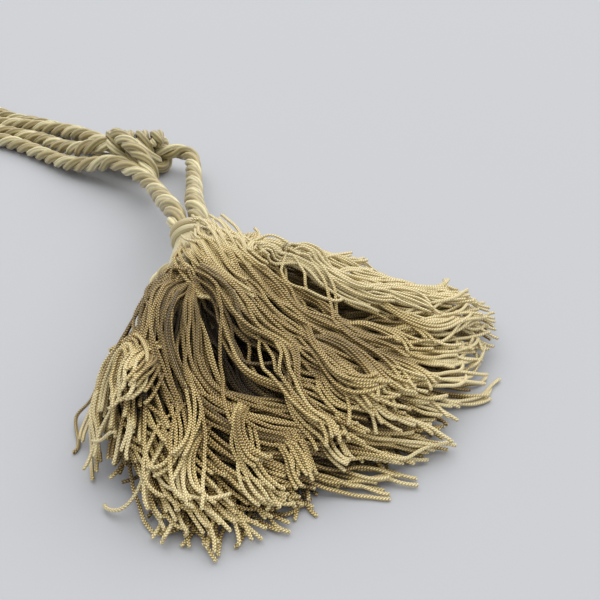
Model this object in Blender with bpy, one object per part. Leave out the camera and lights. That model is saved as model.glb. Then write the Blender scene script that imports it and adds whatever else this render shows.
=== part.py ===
"""Curtain tieback tassel, lying on a table with its skirt spread out like a fan.

Metres, +Z up, table at z = 0. The origin is under the middle of the tassel: the head, the
trimmings on it and the skirt. The rope runs from the head to a wound knot, and on from the
knot as two long loops, the arms that go round the curtain and over the wall hook.
"""

import math

import bmesh
import bpy
import numpy as np
from mathutils import Matrix, Vector

MM = 0.001
GAP = 0.3 * MM                      # air between two pieces that touch on the real tassel

# --- driving dimensions ---------------------------------------------------------------
ROPE = 10.0 * MM                    # diameter of the three-ply rope

TASSEL_MIDDLE = Vector((0.7, -10.9, 0.0)) * MM              # the origin, in the layout below
RING_CENTRE = Vector((-45.0, 27.0, 24.3)) * MM - TASSEL_MIDDLE
HEAD_AXIS = Vector((0.215, -0.942, -0.26)).normalized()      # from the neck to the skirt
RING_CORD = 9.0 * MM                # thickness of the twisted cord round the head's base
RING_PLIES = 3
RING_TWISTS = 11                    # turns of the plies in one round of the ring

BELL_LENGTH = 32.0 * MM
BELL_PAST_RING = 2.0 * MM           # the mould ends this far beyond the ring's plane
BAND_LENGTH = 3.8 * MM              # each of the two wound bands of the collar
BAND_RADIUS = 9.6 * MM

KNOT_CENTRE = Vector((-103.0, 201.0, 13.8)) * MM - TASSEL_MIDDLE
KNOT_LENGTH = 37.0 * MM
KNOT_RADIUS = 14.2 * MM
KNOT_WRAPS = 3.5
KNOT_RIDGE = 2.4 * MM               # how far each turn stands out of the hollows beside it

# The wrapped wooden mould: share of its length from the neck, and radius there.
BELL_PROFILE = (
    # share, radius mm
    (0.00, 8.0),
    (0.08, 8.6),
    (0.22, 10.2),
    (0.42, 12.2),
    (0.65, 13.5),
    (0.88, 14.0),
    (1.00, 13.6),
)

# The skirt, one row for each lock of threads: the way its ends lie, how far they reach from
# the middle of the ring, its height over the ring, half way out and near its ends, how far
# the lock bows to the left on its way, and how deep the notch after it cuts into the edge.
LOCKS = (
    # azimuth deg, reach mm, shoulder mm, belly mm, ends mm, bow deg, notch share
    (-176.0, 27.0, 22.0, 16.0, 5.0, 0.0, 0.05),
    (-150.0, 38.0, 36.0, 24.0, 6.0, 0.0, 0.06),
    (-132.0, 63.0, 44.0, 26.0, 5.0, -1.0, 0.05),
    (-118.0, 85.0, 50.0, 27.0, 5.0, -3.0, 0.08),
    (-105.0, 97.0, 52.0, 28.0, 5.0, -4.0, 0.05),
    (-96.0, 110.0, 53.0, 29.0, 5.0, -4.0, 0.07),
    (-85.0, 115.0, 53.0, 28.0, 4.0, -2.0, 0.04),
    (-76.0, 112.0, 53.0, 26.0, 5.0, 1.0, 0.08),
    (-63.0, 109.0, 53.0, 26.0, 4.0, 4.0, 0.05),
    (-52.0, 114.0, 53.0, 27.0, 5.0, 6.0, 0.09),
    (-38.0, 122.0, 53.0, 28.0, 5.0, 7.0, 0.06),
    (-28.0, 113.0, 52.0, 29.0, 5.0, 6.0, 0.05),
    (-19.0, 117.0, 52.0, 30.0, 5.0, 5.0, 0.07),
    (-9.0, 128.0, 52.0, 31.0, 6.0, 4.0, 0.05),
    (-1.0, 134.0, 52.0, 32.0, 6.0, 3.0, 0.06),
    (7.0, 132.0, 52.0, 33.0, 7.0, 2.0, 0.08),
    (13.0, 108.0, 52.0, 35.0, 10.0, 1.0, 0.08),
    (21.0, 78.0, 52.0, 38.0, 15.0, 0.0, 0.10),
    (33.0, 52.0, 52.0, 44.0, 22.0, 0.0, 0.10),
    (50.0, 36.0, 52.0, 49.0, 32.0, 0.0, 0.08),
    (72.0, 26.0, 52.0, 51.0, 40.0, 0.0, 0.06),
    (104.0, 26.0, 9.0, 8.0, 4.0, 0.0, 0.05),
    (140.0, 27.0, 10.0, 8.0, 5.0, 0.0, 0.05),
    (164.0, 27.0, 15.0, 12.0, 5.0, 0.0, 0.05),
)
LOCK_STEPS = 6                      # faces across each lock
REACH_STEPS = 13                    # faces from the ring to the ends
GROOVE = 4.4 * MM                   # hollow between two locks, half way out
STRAND_RIPPLE = 0.7 * MM            # the lesser bundles within a lock
RING_STANDOFF = 4.0 * MM            # plan radius of the skirt's innermost row of faces

# Deep hollows where locks part.
HOLLOWS = (
    # azimuth deg, distance mm, radius mm, depth mm
    (-50.0, 46.0, 9.0, 11.0),
    (-7.0, 52.0, 10.0, 10.0),
    (-96.0, 62.0, 8.0, 5.0),
    (-30.0, 78.0, 9.0, 5.0),
)

# Rope routes, from the neck outwards, in millimetres of the layout.
FRONT_ARM_ROUTE = (
    (-58.5, 62.5, 34.5),
    (-60.1, 69.7, 36.4),
    (-64.6, 84.5, 34.5),
    (-72.9, 106.0, 28.5),
    (-81.6, 131.5, 21.5),
    (-90.5, 149.5, 18.5),
    (-99.0, 162.0, 17.5),
    (-107.3, 170.8, 17.5),
    (-115.3, 177.2, 17.0),
    (-124.5, 183.2, 13.5),
    (-134.0, 188.5, 10.5),
    (-149.0, 197.0, 7.5),
    (-168.0, 213.0, 5.6),
    (-189.0, 229.5, 5.2),
    (-209.0, 241.0, 5.2),
    (-234.0, 250.0, 5.2),
    (-264.0, 255.0, 5.2),
    (-302.0, 252.0, 5.2),
    (-342.0, 243.0, 5.2),
    (-380.0, 236.0, 5.2),
    (-410.0, 239.0, 5.2),
    (-429.0, 255.0, 5.2),
    (-428.0, 276.0, 5.2),
    (-408.0, 291.0, 5.2),
    (-372.0, 291.0, 5.2),
    (-330.0, 284.0, 5.2),
    (-288.0, 277.0, 5.2),
    (-250.0, 268.0, 5.2),
    (-215.0, 256.0, 5.3),
    (-194.0, 245.5, 6.0),
    (-176.0, 235.0, 7.2),
    (-159.0, 219.0, 9.5),
    (-145.0, 206.5, 13.0),
    (-136.0, 199.8, 17.0),
    (-128.6, 197.8, 19.2),
    (-122.3, 197.5, 19.6),
)
RIGHT_NECK_ROUTE = (
    (-48.3, 64.9, 34.5),
    (-49.9, 72.1, 36.4),
    (-53.8, 86.5, 35.0),
    (-56.9, 104.5, 29.5),
    (-60.7, 131.5, 21.0),
    (-64.6, 158.0, 15.5),
    (-67.8, 179.5, 13.0),
    (-71.0, 194.5, 13.0),
    (-77.0, 201.0, 13.3),
    (-83.9, 201.3, 13.4),
)
BACK_ARM_ROUTE = (
    (-122.3, 208.5, 16.2),
    (-128.6, 209.2, 16.3),
    (-139.0, 219.5, 15.5),
    (-153.0, 233.0, 13.5),
    (-166.0, 242.5, 11.5),
    (-188.0, 256.0, 8.4),
    (-217.0, 269.0, 5.8),
    (-250.0, 282.0, 5.2),
    (-285.0, 294.0, 5.2),
    (-320.0, 306.0, 5.2),
    (-354.0, 316.0, 5.2),
    (-382.0, 328.0, 5.2),
    (-398.0, 348.0, 5.2),
    (-392.0, 370.0, 5.2),
    (-370.0, 378.0, 5.2),
    (-338.0, 369.0, 5.2),
    (-306.0, 351.0, 5.2),
    (-276.0, 331.0, 5.2),
    (-246.0, 309.0, 5.2),
    (-214.0, 281.0, 5.2),
    (-183.0, 266.0, 5.2),
    (-161.5, 251.0, 5.2),
    (-149.0, 239.5, 5.2),
    (-138.0, 226.0, 5.2),
    (-134.0, 212.0, 5.3),
    (-128.3, 206.0, 5.8),
    (-122.3, 205.5, 5.9),
)
ROUTE_STEP = 22.5 * MM              # length of rope between two points of a tube
TUBE_RESOLUTION = 2                 # eight sides

SATIN = (0.62, 0.56, 0.37, 1.0)
CREAM = (0.70, 0.66, 0.48, 1.0)
TAN = (0.34, 0.27, 0.15, 1.0)
KHAKI = (0.45, 0.39, 0.24, 1.0)


def clear_scene():
    """Remove every object the session starts with."""
    for old in list(bpy.data.objects):
        bpy.data.objects.remove(old, do_unlink=True)


def make_material(name, colour, roughness):
    """A plain cloth-like finish."""
    material = bpy.data.materials.new(name)
    material.use_nodes = True
    shader = material.node_tree.nodes["Principled BSDF"]
    shader.inputs["Base Color"].default_value = colour
    shader.inputs["Roughness"].default_value = roughness
    shader.inputs["Metallic"].default_value = 0.0
    return material


def link_mesh(name, bm, material):
    """Turn a bmesh into a named object with its faces pointing out."""
    bmesh.ops.recalc_face_normals(bm, faces=bm.faces)
    mesh = bpy.data.meshes.new(name)
    bm.to_mesh(mesh)
    bm.free()
    mesh.materials.append(material)
    mesh.shade_smooth()
    mesh.set_sharp_from_angle(angle=math.radians(50.0))
    piece = bpy.data.objects.new(name, mesh)
    bpy.context.scene.collection.objects.link(piece)
    return piece


def head_matrix(along):
    """Frame on the head's axis: +Z runs from the neck to the skirt; along is past the ring."""
    turn = HEAD_AXIS.to_track_quat("Z", "Y").to_matrix().to_4x4()
    return Matrix.Translation(RING_CENTRE + HEAD_AXIS * along) @ turn


def lathe(name, profile, material, segments=32, cap=True):
    """Turn (height, radius) pairs about Z into a closed solid."""
    bm = bmesh.new()
    rings = []
    for height, radius in profile:
        ring = []
        for step in range(segments):
            angle = 2.0 * math.pi * step / segments
            ring.append(bm.verts.new((radius * math.cos(angle), radius * math.sin(angle), height)))
        rings.append(ring)
    join_rings(bm, rings)
    if cap:
        bm.faces.new(rings[0][::-1])
        bm.faces.new(rings[-1])
    else:
        join_rings(bm, [rings[-1], rings[0]])
    return link_mesh(name, bm, material)


def join_rings(bm, rings):
    """Bridge consecutive rings of vertices with quads."""
    count = len(rings[0])
    for lower, upper in zip(rings, rings[1:]):
        for step in range(count):
            after = (step + 1) % count
            bm.faces.new((lower[step], lower[after], upper[after], upper[step]))


def smooth_route(points, step):
    """Points about one step apart on a smooth curve, with the route's end stretches kept."""
    knots = [Vector(point) * MM - TASSEL_MIDDLE for point in points]
    padded = [knots[0] * 2 - knots[1], *knots, knots[-1] * 2 - knots[-2]]
    fine = []
    inner = list(zip(padded, padded[1:], padded[2:], padded[3:]))[1:-1]
    for before, start, end, after in inner:
        for share in np.linspace(0.0, 1.0, 16, endpoint=False):
            fine.append(catmull_rom(before, start, end, after, float(share)))
    fine.append(knots[-2])
    lengths = [0.0]
    for here, there in zip(fine, fine[1:]):
        lengths.append(lengths[-1] + (there - here).length)
    count = max(2, round(lengths[-1] / step))
    wanted = np.linspace(0.0, lengths[-1], count + 1)
    middle = [Vector([float(np.interp(at, lengths, [p[axis] for p in fine])) for axis in range(3)])
              for at in wanted]
    return [knots[0], *middle, knots[-1]]


def catmull_rom(before, start, end, after, share):
    """Point on the cubic from start to end."""
    square = share * share
    cube = square * share
    return 0.5 * ((2.0 * start) + (end - before) * share
                  + (2.0 * before - 5.0 * start + 4.0 * end - after) * square
                  + (3.0 * start - before - 3.0 * end + after) * cube)


def make_tube(name, route, material):
    """A stretch of rope as a plain tube with closed ends."""
    curve = bpy.data.curves.new(name, "CURVE")
    curve.dimensions = "3D"
    curve.bevel_depth = ROPE / 2.0
    curve.bevel_resolution = TUBE_RESOLUTION
    curve.use_fill_caps = True
    points = smooth_route(route, ROUTE_STEP)
    spline = curve.splines.new("POLY")
    spline.points.add(len(points) - 1)
    for slot, point in zip(spline.points, points):
        slot.co = (*point, 1.0)
    curve.materials.append(material)
    tube = bpy.data.objects.new(name, curve)
    bpy.context.scene.collection.objects.link(tube)
    return tube


def bell_points(swell=0.0):
    """The mould's profile on the head's axis, from the neck to the base."""
    start = BELL_PAST_RING - BELL_LENGTH
    return [(start + share * BELL_LENGTH, radius * MM + swell) for share, radius in BELL_PROFILE]


def make_bell(material):
    """The satin-wrapped mould of the head, narrow at the neck and full at the skirt."""
    bell = lathe("head_bell", bell_points(), material)
    bell.matrix_world = head_matrix(0.0)
    return bell


def make_bands(materials):
    """The two wound bands of the collar, one behind the other on the rope side of the mould."""
    edge = 1.1 * MM
    top = BELL_PAST_RING - BELL_LENGTH
    for index, (name, material) in enumerate(materials):
        base = top - GAP - index * (BAND_LENGTH + GAP)
        profile = (
            (base - BAND_LENGTH, BAND_RADIUS - edge),
            (base - BAND_LENGTH + edge * 0.5, BAND_RADIUS - edge * 0.3),
            (base - BAND_LENGTH * 0.5, BAND_RADIUS),
            (base - edge * 0.5, BAND_RADIUS - edge * 0.3),
            (base, BAND_RADIUS - edge),
        )
        band = lathe(name, profile, material, segments=28)
        band.matrix_world = head_matrix(0.0)


def make_ring(material):
    """The twisted cord round the head's base: one closed round of a three-ply cord."""
    around = 66
    sides = 9
    middle = max(radius for _share, radius in BELL_PROFILE) * MM + GAP * 1.5 + RING_CORD / 2.0
    ply_depth = RING_CORD * 0.07
    bm = bmesh.new()
    rings = []
    for step in range(around):
        turn = 2.0 * math.pi * step / around
        ring = []
        for side in range(sides):
            angle = 2.0 * math.pi * side / sides
            lobe = math.cos(RING_PLIES * angle + RING_TWISTS * turn)
            radius = RING_CORD / 2.0 - ply_depth + ply_depth * lobe
            out = middle + radius * math.cos(angle)
            ring.append(bm.verts.new((out * math.cos(turn), out * math.sin(turn),
                                      radius * math.sin(angle))))
        rings.append(ring)
    join_rings(bm, [*rings, rings[0]])
    ring_piece = link_mesh("ring_cord", bm, material)
    ring_piece.matrix_world = head_matrix(0.0)
    return ring_piece, middle


def head_cutters(ring_middle):
    """Hidden shapes a little larger than the ring, mould and collar, to seat them in the skirt."""
    clearance = 2.0 * GAP
    plain = make_material("cutter", CREAM, 1.0)
    bm = bmesh.new()
    rings = []
    for step in range(48):
        turn = 2.0 * math.pi * step / 48
        radius = RING_CORD / 2.0 + clearance
        rings.append([bm.verts.new(((ring_middle + radius * math.cos(angle)) * math.cos(turn),
                                    (ring_middle + radius * math.cos(angle)) * math.sin(turn),
                                    radius * math.sin(angle)))
                      for angle in np.linspace(0.0, 2.0 * math.pi, 12, endpoint=False)])
    join_rings(bm, [*rings, rings[0]])
    torus = link_mesh("ring_cutter", bm, plain)
    points = bell_points(clearance)
    points[-1] = (points[-1][0] + clearance, points[-1][1])
    neck_end = points[0][0] - 3.0 * BAND_LENGTH
    inside_ring = ring_middle - 0.6 * RING_CORD / 2.0
    points = [(neck_end, BAND_RADIUS + clearance), (points[0][0] - GAP, BAND_RADIUS + clearance),
              *points[:-2], (-2.0 * MM, points[-2][1]), (-2.0 * MM + GAP, inside_ring),
              (BELL_PAST_RING - GAP, inside_ring), points[-1]]
    core = lathe("head_cutter", points, plain, segments=32)
    for cutter in (torus, core):
        cutter.matrix_world = head_matrix(0.0)
        cutter.hide_render = True
        cutter.display_type = "WIRE"
    return torus, core


def lock_values(azimuth):
    """The table's values at an azimuth, and how near the middle of a notch it is."""
    rows = [*LOCKS, (LOCKS[0][0] + 360.0, *LOCKS[0][1:])]
    for left, right in zip(rows, rows[1:]):
        if left[0] <= azimuth <= right[0]:
            share = (azimuth - left[0]) / (right[0] - left[0])
            ease = share * share * (3.0 - 2.0 * share)
            reach, shoulder, belly, ends, bow = (a + (b - a) * ease
                                                 for a, b in zip(left[1:6], right[1:6]))
            edge = reach * (1.0 - left[6] * math.sin(math.pi * share) ** 2)
            return reach * MM, shoulder * MM, belly * MM, ends * MM, bow, edge * MM, share
    raise ValueError("azimuth outside the table")


def skirt_height(azimuth, distance):
    """Height of the spread threads at a distance from the middle of the ring."""
    reach, shoulder, belly, ends, _bow, _edge, share = lock_values(azimuth)
    out = distance / reach
    if out < 0.5:
        height = shoulder + (belly - shoulder) * (2.0 * out) ** 1.15
    else:
        height = belly + (ends - belly) * (2.0 * out - 1.0) ** 1.2
    arch = math.sin(math.pi * min(1.0, out * 1.04)) ** 0.7
    height -= GROOVE * arch * math.sin(math.pi * share) ** 2
    height += STRAND_RIPPLE * arch * math.cos(6.0 * math.pi * share)
    for hollow_azimuth, hollow_out, radius, depth in HOLLOWS:
        aside = math.radians(azimuth - hollow_azimuth) * distance
        along = distance - hollow_out * MM
        height -= depth * MM * math.exp(-(aside * aside + along * along) / (radius * MM) ** 2)
    return max(height, 2.5 * MM)


def make_skirt(material, cutters):
    """The skirt as one solid: locks side by side, notched like a comb at their ends."""
    azimuths = []
    rows = [*LOCKS, (LOCKS[0][0] + 360.0, *LOCKS[0][1:])]
    for left, right in zip(rows, rows[1:]):
        for step in range(LOCK_STEPS):
            azimuths.append(left[0] + (right[0] - left[0]) * step / LOCK_STEPS)
    bm = bmesh.new()
    rings = []
    for step in range(REACH_STEPS + 1):
        share = step / REACH_STEPS
        ring = []
        for azimuth in azimuths:
            values = lock_values(azimuth)
            distance = RING_STANDOFF + (values[5] - RING_STANDOFF) * share
            height = skirt_height(azimuth, distance)
            bowed = azimuth + values[4] * math.sin(math.pi * share)
            ring.append(bm.verts.new(skirt_point(bowed, distance, height)))
        rings.append(ring)
    foot = [bm.verts.new((above.co.x, above.co.y, 0.0)) for above in rings[-1]]
    rings.append(foot)
    join_rings(bm, rings)
    bm.faces.new(rings[0])
    bm.faces.new(foot)
    skirt = link_mesh("skirt", bm, material)
    for cutter in cutters:
        cut = skirt.modifiers.new(f"seat_{cutter.name}", "BOOLEAN")
        cut.operation = "DIFFERENCE"
        cut.solver = "EXACT"
        cut.object = cutter
    return skirt


def skirt_point(azimuth, distance, height):
    """Place a point by its azimuth and distance from the middle of the ring."""
    angle = math.radians(azimuth)
    return Vector((RING_CENTRE.x + distance * math.cos(angle),
                   RING_CENTRE.y + distance * math.sin(angle), height))


def make_knot(material):
    """The wound knot: turns of rope side by side, flat where they rest on the table."""
    around = 24
    along = 30
    shoulder = 0.16                 # share of the length that rounds off at each end
    bm = bmesh.new()
    rings = []
    for step in range(along + 1):
        share = step / along
        end = min(share, 1.0 - share) / shoulder
        rounding = math.sqrt(max(0.0, 1.0 - (1.0 - min(1.0, end)) ** 2)) * 0.20 + 0.80
        ring = []
        for side in range(around):
            angle = 2.0 * math.pi * side / around
            wave = math.cos(2.0 * math.pi * KNOT_WRAPS * share + angle)
            radius = (KNOT_RADIUS - KNOT_RIDGE * (0.5 - 0.5 * wave)) * rounding
            height = max(0.0, KNOT_CENTRE.z + radius * math.sin(angle))
            ring.append(bm.verts.new((KNOT_CENTRE.x + KNOT_LENGTH * (share - 0.5),
                                      KNOT_CENTRE.y + radius * math.cos(angle), height)))
        rings.append(ring)
    join_rings(bm, rings)
    bm.faces.new(rings[0])
    bm.faces.new(rings[-1])
    return link_mesh("knot", bm, material)


def main():
    """Build every piece of the tieback."""
    clear_scene()
    rope = make_material("rope", KHAKI, 0.6)
    satin = make_material("satin", SATIN, 0.4)
    cream = make_material("cream_band", CREAM, 0.5)
    tan = make_material("tan_band", TAN, 0.55)
    ring_cord = make_material("ring_cord", CREAM, 0.55)
    threads = make_material("threads", KHAKI, 0.6)
    make_bell(satin)
    make_bands((("collar_cream", cream), ("collar_tan", tan)))
    _ring, ring_middle = make_ring(ring_cord)
    make_skirt(threads, head_cutters(ring_middle))
    make_knot(rope)
    make_tube("rope_front_arm", FRONT_ARM_ROUTE, rope)
    make_tube("rope_right_neck", RIGHT_NECK_ROUTE, rope)
    make_tube("rope_back_arm", BACK_ARM_ROUTE, rope)


main()
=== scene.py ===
"""Looks of the curtain tieback tassel: twisted rope, knot, wound head and knitted skirt.

Everything is in metres in the frame of the CAD model, and the table is at z = 0.
"""

import logging
import math
from dataclasses import dataclass, field
from enum import Enum
from typing import Sequence

import bpy
import numpy as np
from bpy.types import Material, Node, NodeSocket, Object
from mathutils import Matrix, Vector
from mathutils.bvhtree import BVHTree


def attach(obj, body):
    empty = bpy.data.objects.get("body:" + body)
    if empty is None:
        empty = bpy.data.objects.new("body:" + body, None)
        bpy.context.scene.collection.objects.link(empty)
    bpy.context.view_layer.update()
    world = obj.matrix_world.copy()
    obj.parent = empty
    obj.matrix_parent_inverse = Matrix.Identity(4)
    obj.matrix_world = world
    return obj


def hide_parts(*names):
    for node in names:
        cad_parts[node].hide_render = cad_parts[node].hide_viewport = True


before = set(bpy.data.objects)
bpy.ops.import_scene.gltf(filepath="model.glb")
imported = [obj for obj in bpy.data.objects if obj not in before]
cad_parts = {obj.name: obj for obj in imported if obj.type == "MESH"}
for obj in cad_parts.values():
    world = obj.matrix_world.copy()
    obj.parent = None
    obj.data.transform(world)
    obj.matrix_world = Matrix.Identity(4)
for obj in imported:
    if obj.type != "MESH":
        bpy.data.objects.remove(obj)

LOG = logging.getLogger("tieback")
MM = 0.001
TURN = 2.0 * math.pi
ANY_PHASE = (0.0, 6.3)
SEED = 23

# The strands that each ply of rope is spun from, and their turns for each metre of ply.
PLY_STRANDS = 5
PLY_SLANT = 45.0

Array = np.ndarray
Colour = tuple[float, float, float]
Point = tuple[float, float, float]
Route = Sequence[Point]

# The layout's own zero, taken from the rope routes as in the part's source.
TASSEL_MIDDLE = np.array((0.7, -10.9, 0.0)) * MM
RING_CENTRE = np.array((-45.0, 27.0, 24.3)) * MM - TASSEL_MIDDLE
HEAD_AXIS = Vector((0.215, -0.942, -0.26)).normalized()
KNOT_CENTRE = np.array((-103.0, 201.0, 14.0)) * MM - TASSEL_MIDDLE
KNOT_FRONT_ROUTE: Route = (
    (-116, 211, 10), (-119.5, 207, 19), (-117.5, 200.5, 24.5), (-112, 192, 26.5),
    (-105.5, 183, 26.5), (-98.5, 174.5, 24.5), (-92.5, 166.5, 20.5), (-89.5, 160, 14.5),
    (-93, 158, 10),
)

FRONT_ARM_ROUTE: Route = (
    (-58.5, 62.5, 34.5), (-60.1, 69.7, 36.4), (-64.6, 84.5, 34.5), (-72.9, 106, 28.5),
    (-81.6, 131.5, 21.5), (-90.5, 149.5, 18.5), (-99, 162, 17.5), (-107.3, 170.8, 17.5),
    (-115.3, 177.2, 17), (-124.5, 183.2, 13.5), (-134, 188.5, 10.5), (-149, 197, 7.5),
    (-168, 213, 5.6), (-189, 229.5, 5.2), (-209, 241, 5.2), (-234, 250, 5.2),
    (-264, 255, 5.2), (-302, 252, 5.2), (-342, 243, 5.2), (-380, 236, 5.2),
    (-410, 239, 5.2), (-429, 255, 5.2), (-428, 276, 5.2), (-408, 291, 5.2),
    (-372, 291, 5.2), (-330, 284, 5.2), (-288, 277, 5.2), (-250, 268, 5.2),
    (-215, 256, 5.3), (-194, 245.5, 6), (-176, 235, 7.2), (-159, 219, 9.5),
    (-145, 206.5, 13), (-136, 199.8, 17), (-128.6, 197.8, 19.2), (-122.3, 197.5, 19.6),
)
RIGHT_NECK_ROUTE: Route = (
    (-48.3, 64.9, 34.5), (-49.9, 72.1, 36.4), (-53.8, 86.5, 35), (-56.9, 104.5, 29.5),
    (-60.7, 131.5, 21), (-64.6, 158, 15.5), (-67.8, 179.5, 13), (-71, 194.5, 13),
    (-77, 201, 13.3), (-83.9, 201.3, 13.4),
)
BACK_ARM_ROUTE: Route = (
    (-122.3, 208.5, 16.2), (-128.6, 209.2, 16.3), (-139, 219.5, 15.5), (-153, 233, 13.5),
    (-166, 242.5, 11.5), (-188, 256, 8.4), (-217, 269, 5.8), (-250, 282, 5.2),
    (-285, 294, 5.2), (-320, 306, 5.2), (-354, 316, 5.2), (-382, 328, 5.2),
    (-398, 348, 5.2), (-392, 370, 5.2), (-370, 378, 5.2), (-338, 369, 5.2),
    (-306, 351, 5.2), (-276, 331, 5.2), (-246, 309, 5.2), (-214, 281, 5.2),
    (-183, 266, 5.2), (-161.5, 251, 5.2), (-149, 239.5, 5.2), (-138, 226, 5.2),
    (-134, 212, 5.3), (-128.3, 206, 5.8), (-122.3, 205.5, 5.9),
)


class Dye(Enum):
    """Linear colours of the yarns, darkest first."""

    # SHADOW is painted shade, for the pad of threads deep in the skirt; BROWN is a dye of the
    # lowest threads and also where the painted shade of deep threads ends.
    SHADOW = (0.022, 0.012, 0.004)
    BROWN = (0.056, 0.033, 0.010)
    OLIVE = (0.200, 0.130, 0.034)
    TAN = (0.455, 0.310, 0.100)
    STRAW = (0.760, 0.560, 0.225)
    CREAM = (0.990, 0.820, 0.425)
    SATIN = (0.600, 0.525, 0.300)
    SATIN_TAN = (0.520, 0.430, 0.225)
    ROPE_PALE = (0.800, 0.700, 0.385)
    ROPE_KHAKI = (0.490, 0.400, 0.170)
    ROPE_TAN = (0.540, 0.430, 0.190)

    @property
    def rgb(self) -> Array:
        """The colour as an array."""
        return np.array(self.value)


DYE_RAMP = (Dye.BROWN, Dye.OLIVE, Dye.TAN, Dye.STRAW, Dye.CREAM)


def ramp(tone: Array) -> Array:
    """Colours along the dye ramp.

    Args:
        tone: 0 for olive to 1 for the palest cream, and below 0 for brown.

    Returns:
        One colour for each tone.
    """
    stops = np.array((-0.33, 0.0, 0.33, 0.67, 1.0))
    table = np.array([dye.value for dye in DYE_RAMP])
    return np.stack([np.interp(tone, stops, table[:, band]) for band in range(3)], axis=-1)


def deselect() -> None:
    """Leave nothing selected and nothing in edit mode."""
    if bpy.context.object and bpy.context.object.mode != "OBJECT":
        bpy.ops.object.mode_set(mode="OBJECT")
    bpy.ops.object.select_all(action="DESELECT")


def linked(name: str, data: bpy.types.ID) -> Object:
    """Put a mesh, a camera or a light into the scene as a new object.

    Args:
        name: The object's name.
        data: What it shows.

    Returns:
        The object.
    """
    piece = bpy.data.objects.new(name, data)
    bpy.context.scene.collection.objects.link(piece)
    return piece


# --- lines -----------------------------------------------------------------------------


def spline(points: Array, fine: int = 16) -> Array:
    """A smooth curve through points.

    Args:
        points: The points that it passes through, one a row.
        fine: Steps between two of them.

    Returns:
        The curve's own points.
    """
    padded = np.vstack((2 * points[0] - points[1], points, 2 * points[-1] - points[-2]))
    share = np.linspace(0.0, 1.0, fine, endpoint=False)[:, None]
    spans = []
    for before, start, end, after in zip(padded, padded[1:], padded[2:], padded[3:]):
        spans.append(0.5 * (2 * start + (end - before) * share
                            + (2 * before - 5 * start + 4 * end - after) * share ** 2
                            + (3 * start - before - 3 * end + after) * share ** 3))
    return np.vstack((*spans, points[-1:]))


def lengths(line: Array) -> Array:
    """Distance run at each point of a line."""
    return np.concatenate(([0.0], np.cumsum(np.linalg.norm(np.diff(line, axis=0), axis=1))))


def even(line: Array, step: float) -> Array:
    """The same line with evenly spaced points.

    Args:
        line: The line.
        step: The most that may lie between two points.

    Returns:
        The new points.
    """
    run = lengths(line)
    count = max(3, math.ceil(run[-1] / step) + 1)
    wanted = np.linspace(0.0, run[-1], count)
    return np.stack([np.interp(wanted, run, line[:, axis]) for axis in range(line.shape[1])], 1)


def directions(line: Array, closed: bool = False) -> Array:
    """Unit tangents of a line.

    Args:
        line: Points of the line.
        closed: Whether the line is a loop.

    Returns:
        One tangent for each point.
    """
    if closed:
        change = np.roll(line, -1, axis=0) - np.roll(line, 1, axis=0)
    else:
        change = np.gradient(line, axis=0)
    return change / np.maximum(np.linalg.norm(change, axis=1, keepdims=True), 1e-12)


def sideways(plan: Array) -> Array:
    """Unit vectors to the left of a line seen from above, one for each of its points."""
    way = directions(plan)
    return np.stack((-way[:, 1], way[:, 0]), axis=1)


def looked_up(table: Sequence[tuple[float, ...]], at: float, column: int = 1) -> float:
    """One column's value between the rows of a table, which begin with their places."""
    columns = np.array(table).T
    return float(np.interp(at, columns[0], columns[column]))


def carried_frames(line: Array, closed: bool = False) -> tuple[Array, Array]:
    """Two directions across a line that turn with it and don't spin about it.

    Args:
        line: Points of the line.
        closed: Whether the line is a loop.

    Returns:
        The first and the second direction across, at each point.
    """
    tangents = directions(line, closed)
    start = np.array((0.0, 0.0, 1.0)) if abs(tangents[0][2]) < 0.9 else np.array((1.0, 0.0, 0.0))
    across = np.empty_like(line)
    side = start - tangents[0] * (start @ tangents[0])
    for index, tangent in enumerate(tangents):
        side = side - tangent * (side @ tangent)
        side = side / math.sqrt(side @ side)
        across[index] = side
    second = np.cross(tangents, across)
    if closed:
        spin = math.atan2(across[-1] @ second[0], across[-1] @ across[0])
        undo = -spin * np.linspace(0.0, 1.0, len(line))[:, None]
        across, second = (across * np.cos(undo) + second * np.sin(undo),
                          second * np.cos(undo) - across * np.sin(undo))
    return across, second


# --- meshes ----------------------------------------------------------------------------


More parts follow.
